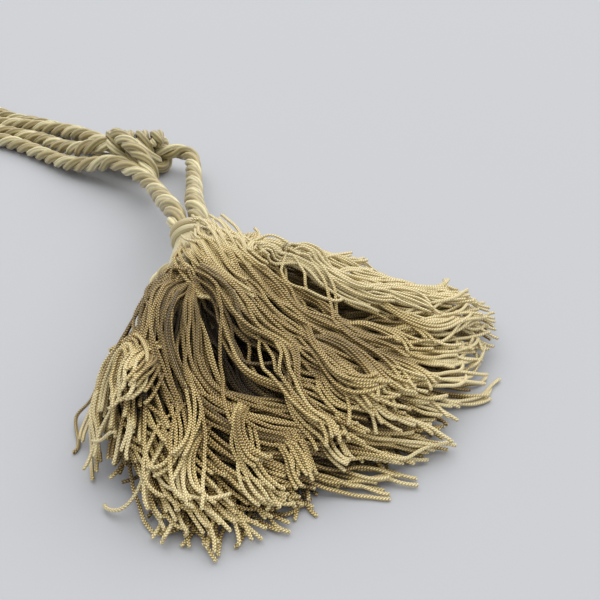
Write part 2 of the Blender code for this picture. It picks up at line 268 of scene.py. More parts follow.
@dataclass
class TubeBatch:
    """Many tubes gathered into one mesh, with a length-and-turn UV map and a colour on each point:
    its dye, with painted shade on the skirt's deep threads.
    """

    name: str
    corners: list[Array] = field(default_factory=list)
    quads: list[Array] = field(default_factory=list)
    fans: list[Array] = field(default_factory=list)
    quad_uvs: list[Array] = field(default_factory=list)
    fan_uvs: list[Array] = field(default_factory=list)
    dyes: list[Array] = field(default_factory=list)
    count: int = 0
    tip: float = 0.45

    def add(self, line: Array, radius: Array, dye: Array, sides: int = 6,
            closed: bool = False, lobes: int = 0, lobe_depth: float = 0.0,
            lobe_turn: float = 0.0) -> None:
        """Add one tube.

        Args:
            line: Its centreline.
            radius: Its radius at each point.
            dye: Its colour at each point.
            sides: Faces round it.
            closed: Whether it joins up with itself.
            lobes: Strands that show on its surface, as ridges.
            lobe_depth: Depth of the hollows between ridges, as a share of the radius.
            lobe_turn: Turns of those strands for each metre of tube.
        """
        points = len(line)
        first, second = carried_frames(line, closed)
        run = lengths(line)
        angles = np.linspace(0.0, TURN, sides, endpoint=False)
        wide = np.repeat(radius[:, None], sides, axis=1)
        if lobes:
            ridge = np.cos(lobes * angles[None, :] + TURN * lobe_turn * run[:, None])
            wide = wide * (1.0 - lobe_depth * (0.5 - 0.5 * ridge))
        ring = (line[:, None, :]
                + wide[:, :, None] * (np.cos(angles)[None, :, None] * first[:, None, :]
                                      + np.sin(angles)[None, :, None] * second[:, None, :]))
        rows = points if closed else points - 1
        base = self.count + np.arange(rows)[:, None] * sides
        ahead = self.count + ((np.arange(rows) + 1) % points)[:, None] * sides
        side = np.arange(sides)[None, :]
        after = (side + 1) % sides
        self.quads.append(np.stack((base + side, base + after, ahead + after, ahead + side),
                                   axis=-1).reshape(-1, 4))
        closing = np.linalg.norm(line[0] - line[-1]) if closed else 0.0
        start = run[:rows]
        end = np.append(run[1:], run[-1] + closing)[:rows]
        low = np.broadcast_to(start[:, None], (rows, sides))
        high = np.broadcast_to(end[:, None], (rows, sides))
        left = np.broadcast_to(side / sides, (rows, sides))
        right = np.broadcast_to((side + 1) / sides, (rows, sides))
        self.quad_uvs.append(np.stack((low, left, low, right, high, right, high, left),
                                      axis=-1).reshape(-1, 8))
        self.corners.append(ring.reshape(-1, 3))
        self.dyes.append(np.repeat(dye, sides, axis=0))
        self.count += points * sides
        if not closed:
            self._cap(line, radius, dye, sides, run, ring)

    def _cap(self, line: Array, radius: Array, dye: Array, sides: int,
             run: Array, ring: Array) -> None:
        """Close both ends of the tube that was added last, with a low point on each.

        Args:
            line: The tube's centreline.
            radius: Its radius at each point.
            dye: Its colour at each point.
            sides: Faces round it.
            run: Distance along it at each point.
            ring: Its rings of corners.
        """
        tangents = directions(line)
        first_ring = self.count - len(line) * sides
        last_ring = self.count - sides
        ends = ((0, -1.0, first_ring, True), (len(line) - 1, 1.0, last_ring, False))
        for index, way, start, flip in ends:
            tip = line[index] + way * tangents[index] * radius[index] * self.tip
            self.corners.append(tip[None, :])
            self.dyes.append(dye[index][None, :])
            side = np.arange(sides)
            after = (side + 1) % sides
            pole = np.full(sides, self.count)
            pair = (start + after, start + side) if flip else (start + side, start + after)
            self.fans.append(np.stack((*pair, pole), axis=-1))
            at = np.full(sides, run[index])
            turn = (side / sides, (side + 1) / sides)
            turn = turn[::-1] if flip else turn
            self.fan_uvs.append(np.stack((at, turn[0], at, turn[1], at, (side + 0.5) / sides),
                                         axis=-1))
            self.count += 1

    def build(self) -> Object:
        """Make the mesh object.

        Returns:
            The object, at the origin, with its UV map and its dye.
        """
        corners = np.vstack(self.corners)
        quads = np.vstack(self.quads)
        fans = np.vstack(self.fans) if self.fans else np.empty((0, 3), int)
        uvs = np.concatenate((np.vstack(self.quad_uvs).ravel(),
                              np.vstack(self.fan_uvs).ravel() if self.fans else np.empty(0)))
        mesh = bpy.data.meshes.new(self.name)
        mesh.vertices.add(len(corners))
        mesh.vertices.foreach_set("co", corners.astype(np.float32).ravel())
        mesh.loops.add(quads.size + fans.size)
        mesh.loops.foreach_set("vertex_index",
                               np.concatenate((quads.ravel(), fans.ravel())).astype(np.int32))
        mesh.polygons.add(len(quads) + len(fans))
        starts = np.concatenate((np.arange(len(quads)) * 4,
                                 quads.size + np.arange(len(fans)) * 3)).astype(np.int32)
        mesh.polygons.foreach_set("loop_start", starts)
        mesh.update(calc_edges=True)
        layer = mesh.uv_layers.new(name="Yarn")
        layer.data.foreach_set("uv", uvs.astype(np.float32))
        # On the skirt's threads this dye attribute also carries their painted shade.
        dye = mesh.color_attributes.new("dye", "FLOAT_COLOR", "POINT")
        colours = np.hstack((np.vstack(self.dyes), np.ones((len(corners), 1))))
        dye.data.foreach_set("color", colours.astype(np.float32).ravel())
        mesh.shade_smooth()
        mesh.validate()
        return linked(self.name, mesh)


# --- finishes --------------------------------------------------------------------------


@dataclass
class NodeBench:
    """A material under construction, with short ways to add and join its nodes."""

    name: str
    material: Material = field(init=False)

    def __post_init__(self) -> None:
        """Start from an empty Principled material."""
        self.material = bpy.data.materials.new(self.name)
        self.material.use_nodes = True
        self.tree = self.material.node_tree
        self.shader = self.tree.nodes["Principled BSDF"]

    def node(self, kind: str, **settings: object) -> Node:
        """Add a node.

        Args:
            kind: Its type.
            settings: Its own properties.

        Returns:
            The node.
        """
        made = self.tree.nodes.new(kind)
        for key, value in settings.items():
            setattr(made, key, value)
        return made

    def join(self, source: NodeSocket, target: NodeSocket) -> None:
        """Link two sockets."""
        self.tree.links.new(source, target)

    def noise(self, scale: float, detail: float) -> "Pattern":
        """Noise on object coordinates.

        Args:
            scale: Its scale.
            detail: Its detail.

        Returns:
            Its value.
        """
        made = self.node("ShaderNodeTexNoise")
        made.inputs["Scale"].default_value = scale
        made.inputs["Detail"].default_value = detail
        self.join(self.node("ShaderNodeTexCoord").outputs["Object"], made.inputs["Vector"])
        return Pattern(self, made.outputs["Fac"])

    def mottling(self, scale: float, detail: float, share: float) -> "Pattern":
        """A factor of about 1 that differs from patch to patch."""
        return self.noise(scale, detail) * share + (1.0 - 0.5 * share)

    def yarn_map(self) -> "tuple[Pattern, Pattern]":
        """The yarn's own coordinates.

        Returns:
            Distance along it in metres, and turn round it from 0 to 1.
        """
        uv = self.node("ShaderNodeUVMap", uv_map="Yarn")
        split = self.node("ShaderNodeSeparateXYZ")
        self.join(uv.outputs[0], split.inputs[0])
        return Pattern(self, split.outputs["X"]), Pattern(self, split.outputs["Y"])

    def own_dye(self) -> NodeSocket:
        """The dye that each point of a yarn brings with it."""
        return self.node("ShaderNodeAttribute", attribute_name="dye",
                         attribute_type="GEOMETRY").outputs["Color"]

    def plain_dye(self, dye: Dye) -> NodeSocket:
        """One dye all over.

        Args:
            dye: The dye.

        Returns:
            Its colour.
        """
        made = self.node("ShaderNodeRGB")
        made.outputs[0].default_value = (*dye.value, 1.0)
        return made.outputs[0]

    def colour(self, dye: NodeSocket, light: "Pattern", palest: Colour | None = None) -> None:
        """Feed a dye times a grey factor into the shader's colour.

        Args:
            dye: The dye.
            light: The factor.
            palest: The palest colour that may come out, where there is such a bound.
        """
        lit = self.node("ShaderNodeVectorMath", operation="SCALE")
        self.join(dye, lit.inputs[0])
        self.join(light.socket, lit.inputs["Scale"])
        if palest is not None:
            bound = self.node("ShaderNodeVectorMath", operation="MINIMUM")
            self.join(lit.outputs[0], bound.inputs[0])
            bound.inputs[1].default_value = palest
            lit = bound
        self.join(lit.outputs[0], self.shader.inputs["Base Color"])

    def bump(self, height: "Pattern", distance: float, strength: float) -> None:
        """Feed a height into the shader's normal.

        Args:
            height: The height, from 0 to 1.
            distance: The relief of a height of 1, in metres.
            strength: How strongly it shows.
        """
        made = self.node("ShaderNodeBump")
        made.inputs["Distance"].default_value = distance
        made.inputs["Strength"].default_value = strength
        self.join(height.socket, made.inputs["Height"])
        self.join(made.outputs[0], self.shader.inputs["Normal"])

    def set(self, **values: float) -> None:
        """Set plain values on the shader's own sockets; underscores stand for spaces."""
        for key, value in values.items():
            self.shader.inputs[key.replace("_", " ")].default_value = value


@dataclass(frozen=True)
class Pattern:
    """A number in a material that differs from place to place."""

    bench: NodeBench
    socket: NodeSocket

    def through(self, operation: str, other: "Pattern | float" = 0.0) -> "Pattern":
        """This number put through a Math node.

        Args:
            operation: The node's operation.
            other: Its second number.

        Returns:
            What comes out.
        """
        node = self.bench.node("ShaderNodeMath", operation=operation)
        self.bench.join(self.socket, node.inputs[0])
        if isinstance(other, Pattern):
            self.bench.join(other.socket, node.inputs[1])
        else:
            node.inputs[1].default_value = other
        return Pattern(self.bench, node.outputs[0])

    def __add__(self, other: "Pattern | float") -> "Pattern":
        """Their sum."""
        return self.through("ADD", other)

    def __sub__(self, other: "Pattern | float") -> "Pattern":
        """Their difference."""
        return self.through("SUBTRACT", other)

    def __rsub__(self, other: float) -> "Pattern":
        """A plain number less this one."""
        return self * -1.0 + other

    def __mul__(self, other: "Pattern | float") -> "Pattern":
        """Their product."""
        return self.through("MULTIPLY", other)

    def __pow__(self, power: float) -> "Pattern":
        """This number to a power."""
        return self.through("POWER", power)

    def wave(self, operation: str) -> "Pattern":
        """A sine or cosine from 0 to 1 with one wave for each whole number."""
        return (self * TURN).through(operation) * 0.5 + 0.5


@dataclass(frozen=True)
class KnittedThread:
    """A fine knitted cord: rows of loops leaning left and right in turn; its shine is partly a
    painted glint.
    """

    stitch: float = 1.10 * MM
    wales: float = 4.0
    lean: float = 0.62
    stagger: float = 0.5
    gap_depth: float = 0.6
    gap_light: float = 0.04
    painted_glint: float = 0.78
    evened_shading_from: float = 0.60
    most_evened_shading: float = 0.38
    unevenness: float = 0.40
    palest: Colour = (0.97, 0.84, 0.53)
    relief: float = 0.28 * MM

    def build(self) -> Material:
        """Make the finish.

        Returns:
            Its material.
        """
        bench = NodeBench("knitted_thread")
        along, turn = bench.yarn_map()
        column = turn * self.wales
        inside = column.through("FRACT") - 0.5
        odd = column.through("FLOOR").through("MODULO", 2.0)
        leaning = inside * (1.0 - odd * 2.0) * self.lean
        row = along.through("DIVIDE", self.stitch) + (odd * self.stagger + leaning)
        groove = (inside.through("ABSOLUTE") * 2.0) ** 3.0
        # The loops' height sets their colour as well as their relief: painted shade in the grooves
        # between loops, and a painted glint on their tops.
        height = row.wave("SINE") ** 0.8 * (1.0 - groove * self.gap_depth)
        light = height + self.gap_light + height ** 4.0 * self.painted_glint
        dye = bench.own_dye()
        split = bench.node("ShaderNodeSeparateColor")
        bench.join(dye, split.inputs[0])
        # For pale dyes the painted shade and glint are evened out towards a flat, lighter colour.
        pale = (Pattern(bench, split.outputs[0]) - self.evened_shading_from) * 1.1
        pale = pale.through("MAXIMUM", 0.0).through("MINIMUM", self.most_evened_shading)
        light = light + (1.10 - light) * pale
        light = light * bench.mottling(55.0, 3.0, self.unevenness)
        bench.colour(dye, light, self.palest)
        bench.bump(height, self.relief, 0.9)
        bench.set(Roughness=0.38, Sheen_Weight=0.12, Sheen_Roughness=0.45)
        return bench.material


@dataclass(frozen=True)
class PackedThreads:
    """Threads packed deep in the skirt, coloured in painted shade as hardly any light gets to them.
    """

    thread: float = 2.2 * MM
    relief: float = 0.6 * MM

    def build(self) -> Material:
        """Make the finish, an uneven painted shade with a soft relief.

        Returns:
            Its material.
        """
        bench = NodeBench("packed_threads_painted_shade")
        uneven = bench.noise(0.5 / self.thread, 3.0)
        # The pad's dark colour is painted shade, not the threads' own dye.
        bench.colour(bench.plain_dye(Dye.SHADOW), uneven + 0.5)
        bench.bump(uneven, self.relief, 0.6)
        bench.set(Roughness=0.9)
        return bench.material


@dataclass(frozen=True)
class RopeYarn:
    """One ply of twisted rope: a few strands side by side, each of silky filaments."""

    name: str = "rope_yarn"
    filaments: float = 30.0
    filament_slant: float = 500.0
    unevenness: float = 0.36
    relief: float = 0.30 * MM

    def build(self) -> Material:
        """Make the finish.

        Returns:
            Its material.
        """
        bench = NodeBench(self.name)
        strand = self._ridges(bench, float(PLY_STRANDS), PLY_SLANT, 0.25)
        filament = self._ridges(bench, self.filaments, self.filament_slant, 1.4)
        # The ridges of the strands and filaments set the colour too: a painted highlight on their
        # tops, painted shade in the hollows between them.
        light = strand ** 0.7 * 0.52 + 0.34 + filament * 0.22
        bench.colour(bench.own_dye(), light * bench.mottling(90.0, 4.0, self.unevenness))
        bench.bump(strand + filament * 0.3, self.relief, 0.7)
        bench.set(Roughness=0.42, Sheen_Weight=0.3, Sheen_Roughness=0.5)
        return bench.material

    def _ridges(self, bench: NodeBench, count: float, slant: float, wobble: float) -> Pattern:
        """Ridges round the ply, from 0 in the hollows to 1 on top.

        Args:
            bench: The material.
            count: Ridges in one turn round the ply.
            slant: Turns of them for each metre of ply.
            wobble: How much they wander.

        Returns:
            Their height.
        """
        along, turn = bench.yarn_map()
        phase = turn * count + along * slant + bench.noise(300.0, 2.0) * wobble
        return phase.wave("COSINE")


@dataclass(frozen=True)
class WoundSatin:
    """Fine satin thread laid side by side; the threads run along or round the piece."""

    name: str
    dye: Dye
    threads: float
    lengthwise: bool
    unevenness: float = 0.3
    relief: float = 0.12 * MM

    def build(self) -> Material:
        """Make the finish.

        Returns:
            Its material.
        """
        bench = NodeBench(self.name)
        along, turn = bench.yarn_map()
        across = turn if self.lengthwise else along
        line = (across * self.threads + bench.noise(160.0, 2.0) * 1.2).wave("SINE")
        # The grooves between the laid threads are painted a little darker: painted shade.
        light = (line * 0.22 + 0.80) * bench.mottling(70.0, 3.0, self.unevenness)
        bench.colour(bench.plain_dye(self.dye), light)
        bench.bump(line, self.relief, 0.5)
        bench.set(Roughness=0.34, Sheen_Weight=0.2, Sheen_Roughness=0.4)
        return bench.material


# --- room ------------------------------------------------------------------------------


@dataclass
class Studio:
    """The pale table, the soft daylight on it and the camera; metres, and angles in degrees."""

    camera_height: float = 0.1975
    camera_place: tuple[float, float] = (-0.0037, -0.2141)
    look_down: float = 35.0
    lens: float = 43.2
    table_size: float = 8.0
    table_colour: Colour = (0.436, 0.446, 0.471)
    window_way: Point = (-0.20, -0.72, -1.30)
    window_power: float = 2.66
    sky_power: float = 0.71
    window_softness: float = 90.0
    window_colour: Colour = (1.0, 0.985, 0.955)
    sky_colour: Colour = (0.975, 0.985, 1.0)

    def build(self) -> None:
        """Set up the camera, the table and the lights."""
        self._camera()
        self._table()
        self._daylight()

    def _camera(self) -> None:
        """A camera above the table, looking down at the skirt."""
        data = bpy.data.cameras.new("camera")
        data.lens = self.lens
        data.sensor_width = 36.0
        camera = linked("camera", data)
        camera.location = (*self.camera_place, self.camera_height)
        camera.rotation_euler = (math.radians(90.0 - self.look_down), 0.0, 0.0)
        bpy.context.scene.camera = camera

    def _table(self) -> None:
        """The pale table top."""
        bpy.ops.mesh.primitive_plane_add(size=self.table_size, location=(0.0, 0.0, 0.0))
        table = bpy.context.object
        table.name = "table_top"
        bench = NodeBench("table_top")
        bench.shader.inputs["Base Color"].default_value = (*self.table_colour, 1.0)
        bench.set(Roughness=0.9, Specular_IOR_Level=0.15)
        table.data.materials.append(bench.material)

    def _daylight(self) -> None:
        """Even light from all round, and a broad window light from behind."""
        world = bpy.data.worlds.new("room")
        world.use_nodes = True
        sky = world.node_tree.nodes["Background"]
        sky.inputs["Color"].default_value = (*self.sky_colour, 1.0)
        sky.inputs["Strength"].default_value = self.sky_power
        bpy.context.scene.world = world
        sun = bpy.data.lights.new("window", "SUN")
        sun.energy = self.window_power
        sun.angle = math.radians(self.window_softness)
        sun.color = self.window_colour
        lamp = linked("window", sun)
        lamp.rotation_euler = Vector(self.window_way).to_track_quat("-Z", "Y").to_euler()
        bpy.context.scene.view_settings.view_transform = "Standard"


# --- rope ------------------------------------------------------------------------------


@dataclass
class ThreePlyRope:
    """Rope laid up from three plies, one pale and two khaki, in an S twist.

    Attributes:
        name: The piece's name.
        route: Points that it passes through, or the whole line of a closed one.
        diameter: Its thickness.
        lays: Places along it in metres, and how many diameters one twist takes there.
        start_turn: Where round it the pale ply begins, from 0 to 1.
        closed: Whether it joins up with itself.
        dyes: The dyes of its plies.
        sides: Faces round a ply.
        step: Distance between two points of its line.
        ply_offset: A ply's distance from the middle, in diameters.
        ply_radius: A ply's radius, in diameters.
        strand_depth: Depth of the hollows between a ply's strands, as a share of its radius.
        ends: A ply's thickness at its last two points, as a share of the full one.
    """

    name: str
    route: Array
    diameter: float = 10.0 * MM
    lays: tuple[tuple[float, float], ...] = ((0.0, 3.0),)
    start_turn: float = 0.0
    closed: bool = False
    dyes: tuple[Dye, Dye, Dye] = (Dye.ROPE_PALE, Dye.ROPE_KHAKI, Dye.ROPE_TAN)
    sides: int = 16
    step: float = 1.5 * MM
    ply_offset: float = 0.262
    ply_radius: float = 0.243
    strand_depth: float = 0.15
    ends: tuple[float, float] = (0.6, 0.9)

    def centreline(self) -> Array:
        """The line that the rope follows.

        Returns:
            Its points, evenly spaced.
        """
        if self.closed:
            return self.route
        return even(spline(self.route), self.step)

    def build(self, material: Material) -> Object:
        """Lay the three plies round the centreline.

        Args:
            material: The yarn's finish.

        Returns:
            The rope as one mesh.
        """
        line = self.centreline()
        run = lengths(line)
        first, second = carried_frames(line, self.closed)
        at, lay = zip(*self.lays)
        lay_here = np.interp(run, np.array(at), np.array(lay) * self.diameter)
        turned = np.concatenate(([0.0], np.cumsum(np.diff(run) / lay_here[:-1])))
        if self.closed:
            whole = round(float(run[-1] / lay_here[0]))
            turned = np.arange(len(line)) / len(line) * whole
        batch = TubeBatch(self.name)
        across = self.diameter * self.ply_offset
        for ply, colour in enumerate(self.dyes):
            angle = -TURN * (turned + ply / 3.0 + self.start_turn)
            offset = across * (np.cos(angle)[:, None] * first + np.sin(angle)[:, None] * second)
            radius = np.full(len(line), self.diameter * self.ply_radius)
            if not self.closed:
                radius[:2] *= self.ends
                radius[-2:] *= self.ends[::-1]
            dye = np.repeat(colour.rgb[None, :], len(line), axis=0)
            batch.add(line + offset, radius, dye, self.sides, self.closed,
                      lobes=PLY_STRANDS, lobe_depth=self.strand_depth, lobe_turn=PLY_SLANT)
        piece = batch.build()
        piece.data.materials.append(material)
        return piece


@dataclass
class Ropework:
    """The two lengths of rope and the knot that they pass through."""

    diameter: float = 10.0 * MM
    knot_turns: float = 3.3
    knot_pitch: float = 9.2 * MM
    knot_coil: float = 9.1 * MM
    knot_slant: float = 3.6 * MM
    knot_start: float = 205.0
    knot_points: int = 90
    knot_squeeze: float = 0.97

    def build(self) -> None:
        yarn = RopeYarn().build()
        knot = self._knot(yarn)
        front = ThreePlyRope("rope_front", self._placed(FRONT_ARM_ROUTE, end=(-110.0, 199.5, 15.5)),
                             lays=((0.0, 3.6), (0.12, 3.5), (0.17, 3.1), (0.9, 3.0)),
                             start_turn=0.05)
        self._declare(front, yarn, "rope_front_arm")
        neck = ThreePlyRope("rope_neck", self._placed(RIGHT_NECK_ROUTE, end=(-95.0, 201.3, 13.8)),
                            lays=((0.0, 3.5), (0.15, 3.3)), start_turn=0.55)
        self._declare(neck, yarn, "rope_right_neck")
        back = ThreePlyRope("rope_back", self._placed(BACK_ARM_ROUTE, start=(-110.0, 204.0, 14.5),
                                                      end=(-110.0, 203.5, 10.0)),
                            lays=((0.0, 3.1), (0.7, 3.0)), start_turn=0.3)
        self._declare(back, yarn, "rope_back_arm")

    def _placed(self, route: Route, start: Point | None = None, end: Point | None = None) -> Array:
        """A layout route in the frame, carried on into the knot where an end is given."""
        points = [*([start] if start else []), *route, *([end] if end else [])]
        return np.array(points) * MM - TASSEL_MIDDLE

    def _declare(self, rope: ThreePlyRope, yarn: Material, node: str) -> None:
        """Args:
            rope: The rope.
            yarn: Its finish.
            node: The CAD node that it replaces.
        """
        piece = rope.build(yarn)
        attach(piece, "root")
        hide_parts(node)
        line = rope.centreline()
        line[::4].tolist() + [line[-1].tolist()]
        LOG.info("%s: %.0f mm of rope", rope.name, lengths(line)[-1] / MM)

    def _knot(self, yarn: Material) -> tuple[Object, ...]:
        """Wind the knot, each turn leaning towards the collar at its foot.

        Args:
            yarn: The rope's finish.

        Returns:
            The turns, and the one in front of the front strand.
        """
        angle = (np.linspace(0.0, self.knot_turns * TURN, self.knot_points)
                 + math.radians(self.knot_start))
        share = np.linspace(-0.5, 0.5, len(angle))
        height = np.sin(-angle)
        x = KNOT_CENTRE[0] + share * self.knot_turns * self.knot_pitch - self.knot_slant * height
        y = KNOT_CENTRE[1] - self.knot_coil * np.cos(angle)
        z = KNOT_CENTRE[2] + self.knot_coil * height
        route = np.stack((x, y, z), axis=1)
        squeezed = self.diameter * self.knot_squeeze
        lays = ((0.0, 3.3),)
        rope = ThreePlyRope("knot_turns", route, squeezed, lays, start_turn=0.2)
        front = ThreePlyRope("knot_front_turn", self._placed(KNOT_FRONT_ROUTE), squeezed, lays,
                             start_turn=0.6)
        pieces = (rope.build(yarn), front.build(yarn))
        for piece in pieces:
            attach(piece, "root")
        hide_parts("knot")
        LOG.info("knot: %.1f turns of rope and one in front", self.knot_turns)
        return pieces


# --- head ------------------------------------------------------------------------------


def wrap_yarn_map(piece: Object, origin: Vector, axis: Vector) -> None:
    """Give a turned piece a UV map of distance along its axis and turn round it.

    Args:
        piece: The piece, with its place in its mesh.
        origin: A point on its axis.
        axis: Its axis.
    """
    turn = axis.to_track_quat("Z", "Y").to_matrix().inverted()
    mesh = piece.data
    local = np.array([turn @ (vertex.co - origin) for vertex in mesh.vertices])
    share = np.arctan2(local[:, 1], local[:, 0]) / TURN
    layer = mesh.uv_layers.new(name="Yarn")
    for face in mesh.polygons:
        turns = share[list(face.vertices)]
        if turns.max() - turns.min() > 0.5:
            turns = np.where(turns < 0.0, turns + 1.0, turns)
        for loop, vertex, at in zip(face.loop_indices, face.vertices, turns):
            layer.data[loop].uv = (local[vertex][2], at)


@dataclass
class TurnedPiece:
    """A round piece on the head's axis, drawn out from a disc."""

    name: str
    profile: Sequence[tuple[float, float]]
    segments: int = 64
    smooth_below: float = 50.0

    def build(self) -> Object:
        """Extrude the disc along the axis and size it at each step.

        Returns:
            The closed piece, with its yarn map.
        """
        deselect()
        turn = HEAD_AXIS.to_track_quat("Z", "Y").to_euler()
        start, radius = self.profile[0]
        centre = Vector(RING_CENTRE)
        bpy.ops.mesh.primitive_circle_add(vertices=self.segments, radius=radius, fill_type="NGON",
                                          location=centre + HEAD_AXIS * start, rotation=turn)
        piece = bpy.context.object
        piece.name = self.name
        bpy.ops.object.mode_set(mode="EDIT")
        bpy.ops.mesh.select_all(action="SELECT")
        for (before, old), (after, new) in zip(self.profile, self.profile[1:]):
            bpy.ops.mesh.extrude_region_move(
                TRANSFORM_OT_translate={"value": HEAD_AXIS * (after - before)})
            bpy.ops.transform.resize(value=(new / old,) * 3,
                                     center_override=centre + HEAD_AXIS * after)
        bpy.ops.mesh.select_all(action="SELECT")
        bpy.ops.mesh.normals_make_consistent(inside=False)
        bpy.ops.object.mode_set(mode="OBJECT")
        bpy.ops.object.transform_apply(location=True, rotation=True, scale=True)
        bpy.ops.object.shade_smooth_by_angle(angle=math.radians(self.smooth_below))
        wrap_yarn_map(piece, centre, HEAD_AXIS)
        return piece


@dataclass
class WoundHead:
    """The satin-wound mould, the two bands of its collar and the cord round its base."""

    length: float = 32.0 * MM
    past_ring: float = 2.0 * MM
    shape: tuple[tuple[float, float], ...] = (
        (0.00, 8.0), (0.04, 8.25), (0.08, 8.6), (0.15, 9.4), (0.22, 10.2), (0.32, 11.3),
        (0.42, 12.2), (0.53, 12.95), (0.65, 13.5), (0.77, 13.85), (0.88, 14.0), (0.95, 13.9),
        (1.00, 13.6))
    gap: float = 0.3 * MM
    band: float = 3.8 * MM
    band_radius: float = 9.6 * MM
    band_round: float = 1.1 * MM
    band_thread: float = 0.75 * MM
    mould_threads: float = 110.0
    cord: float = 9.0 * MM
    cord_radius: float = 18.95 * MM
    cord_turns: int = 7
    cord_points: int = 120

    def build(self) -> None:
        """Build the mould, the collar and the cord, in the place of their CAD nodes."""
        mould = TurnedPiece("mould", [(self.past_ring + (share - 1.0) * self.length, radius * MM)
                                      for share, radius in self.shape]).build()
        self._dress(mould, WoundSatin("mould_satin", Dye.SATIN, self.mould_threads, True).build(),
                    "head_bell")
        top = self.past_ring - self.length
        for index, (name, node, slot, dye) in enumerate(
                (("collar_pale", "collar_cream", "cream_band", Dye.SATIN),
                 ("collar_dark", "collar_tan", "tan_band", Dye.SATIN_TAN))):
            base = top - self.gap - index * (self.band + self.gap)
            band = TurnedPiece(name, self._band_profile(base)).build()
            winding = WoundSatin(f"{name}_winding", dye, 1.0 / self.band_thread, False)
            self._dress(band, winding.build(), node)
        self._base_cord()

    def _band_profile(self, base: float) -> list[tuple[float, float]]:
        """The rounded outline of one band of the collar.

        Args:
            base: Where its skirt side is on the axis.

        Returns:
            Place on the axis and radius, from its rope side to its skirt side.
        """
        shares = np.linspace(0.0, 1.0, 9)
        full = self.band_radius - self.band_round
        return [(base - self.band * (1.0 - share),
                 full + self.band_round * math.sqrt(max(0.0, 1.0 - (2.0 * share - 1.0) ** 2)))
                for share in shares]

    def _dress(self, piece: Object, finish: Material, node: str) -> None:
        """Give a piece its finish and its CAD node's place.

        Args:
            piece: The piece.
            finish: Its finish.
            node: The CAD node that it replaces.
        """
        piece.data.materials.append(finish)
        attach(piece, "root")
        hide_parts(node)
        LOG.info("%s: in the place of %s", piece.name, node)

    def _base_cord(self) -> None:
        """The twisted cord that closes round the mould's base."""
        turn = HEAD_AXIS.to_track_quat("Z", "Y").to_matrix()
        round_it = [turn @ Vector((math.cos(angle), math.sin(angle), 0.0)) * self.cord_radius
                    for angle in np.linspace(0.0, TURN, self.cord_points, endpoint=False)]
        route = np.array(round_it) + RING_CENTRE
        lay = TURN * self.cord_radius / self.cord_turns / self.cord
        cord = ThreePlyRope("base_cord", route, self.cord, lays=((0.0, lay),), closed=True)
        piece = cord.build(RopeYarn(name="base_cord_yarn").build())
        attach(piece, "root")
        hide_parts("ring_cord")
        LOG.info("base_cord: %d turns of twist", self.cord_turns)


# --- skirt -----------------------------------------------------------------------------


def blurred(values: Array, reach: int) -> Array:
    """Values evened out over a few neighbours to each side.

    Args:
        values: The values, in a row.
        reach: The spread in values.

    Returns:
        The evened values.
    """
    spread = np.exp(-0.5 * (np.arange(-2 * reach, 2 * reach + 1) / reach) ** 2)
    padded = np.pad(values, 2 * reach, mode="edge")
    return np.convolve(padded, spread / spread.sum(), mode="valid")


def evened(grid: Array, reach: int) -> Array:
    """A grid evened out over a few cells to each side.

    Args:
        grid: The values of its cells.
        reach: The spread in cells.

    Returns:
        The evened grid.
    """
    for axis in (0, 1):
        grid = np.apply_along_axis(blurred, axis, grid, reach)
    return grid


def grown(grid: Array, extreme: np.ufunc, cells: int) -> Array:
    """A grid with its high or its low cells grown to every side.

    Args:
        grid: The values of its cells.
        extreme: np.maximum to grow the high ones, or np.minimum to grow the low ones.
        cells: How far they grow.

    Returns:
        The new grid.
    """
    for _ in range(cells):
        for axis in (0, 1):
            grid = extreme(grid, extreme(np.roll(grid, 1, axis), np.roll(grid, -1, axis)))
    return grid


def eased(share: Array) -> Array:
    """A smooth rise from 0 to 1."""
    share = np.clip(share, 0.0, 1.0)
    return share * share * (3.0 - 2.0 * share)


def heap(name: str, corners: Array, least: float, foot: float = 0.05 * MM) -> Object:
    """A closed piece below a grid of heights, with walls round its edge.

    Args:
        name: Its name.
        corners: The grid's points, in rows and columns.
        least: The height below which nothing is made.
        foot: Height of its underside.

    Returns:
        The piece.
    """
    rows, columns = corners.shape[:2]
    index = np.arange(rows * columns).reshape(rows, columns)
    faces = np.stack((index[:-1, :-1], index[:-1, 1:], index[1:, 1:], index[1:, :-1]),
                     axis=-1).reshape(-1, 4)
    corners = corners.reshape(-1, 3)
    top = faces[corners[faces, 2].min(axis=1) > least]
    edges = np.stack((top, np.roll(top, -1, axis=1)), axis=-1).reshape(-1, 2).tolist()
    shared = {(end, start) for start, end in edges}
    rim = np.array([edge for edge in edges if tuple(edge) not in shared])
    below = rows * columns
    walls = np.stack((rim[:, 0], rim[:, 0] + below, rim[:, 1] + below, rim[:, 1]), axis=-1)
    underside = corners * (1.0, 1.0, 0.0) + (0.0, 0.0, foot)
    mesh = bpy.data.meshes.new(name)
    mesh.from_pydata(np.vstack((corners, underside)).tolist(), [],
                     np.vstack((top, top[:, ::-1] + below, walls)).tolist())
    mesh.update()
    piece = linked(name, mesh)
    deselect()
    piece.select_set(True)
    bpy.context.view_layer.objects.active = piece
    bpy.ops.object.mode_set(mode="EDIT")
    bpy.ops.mesh.select_all(action="SELECT")
    bpy.ops.mesh.delete_loose()
    bpy.ops.object.mode_set(mode="OBJECT")
    bpy.ops.object.shade_smooth()
    return piece


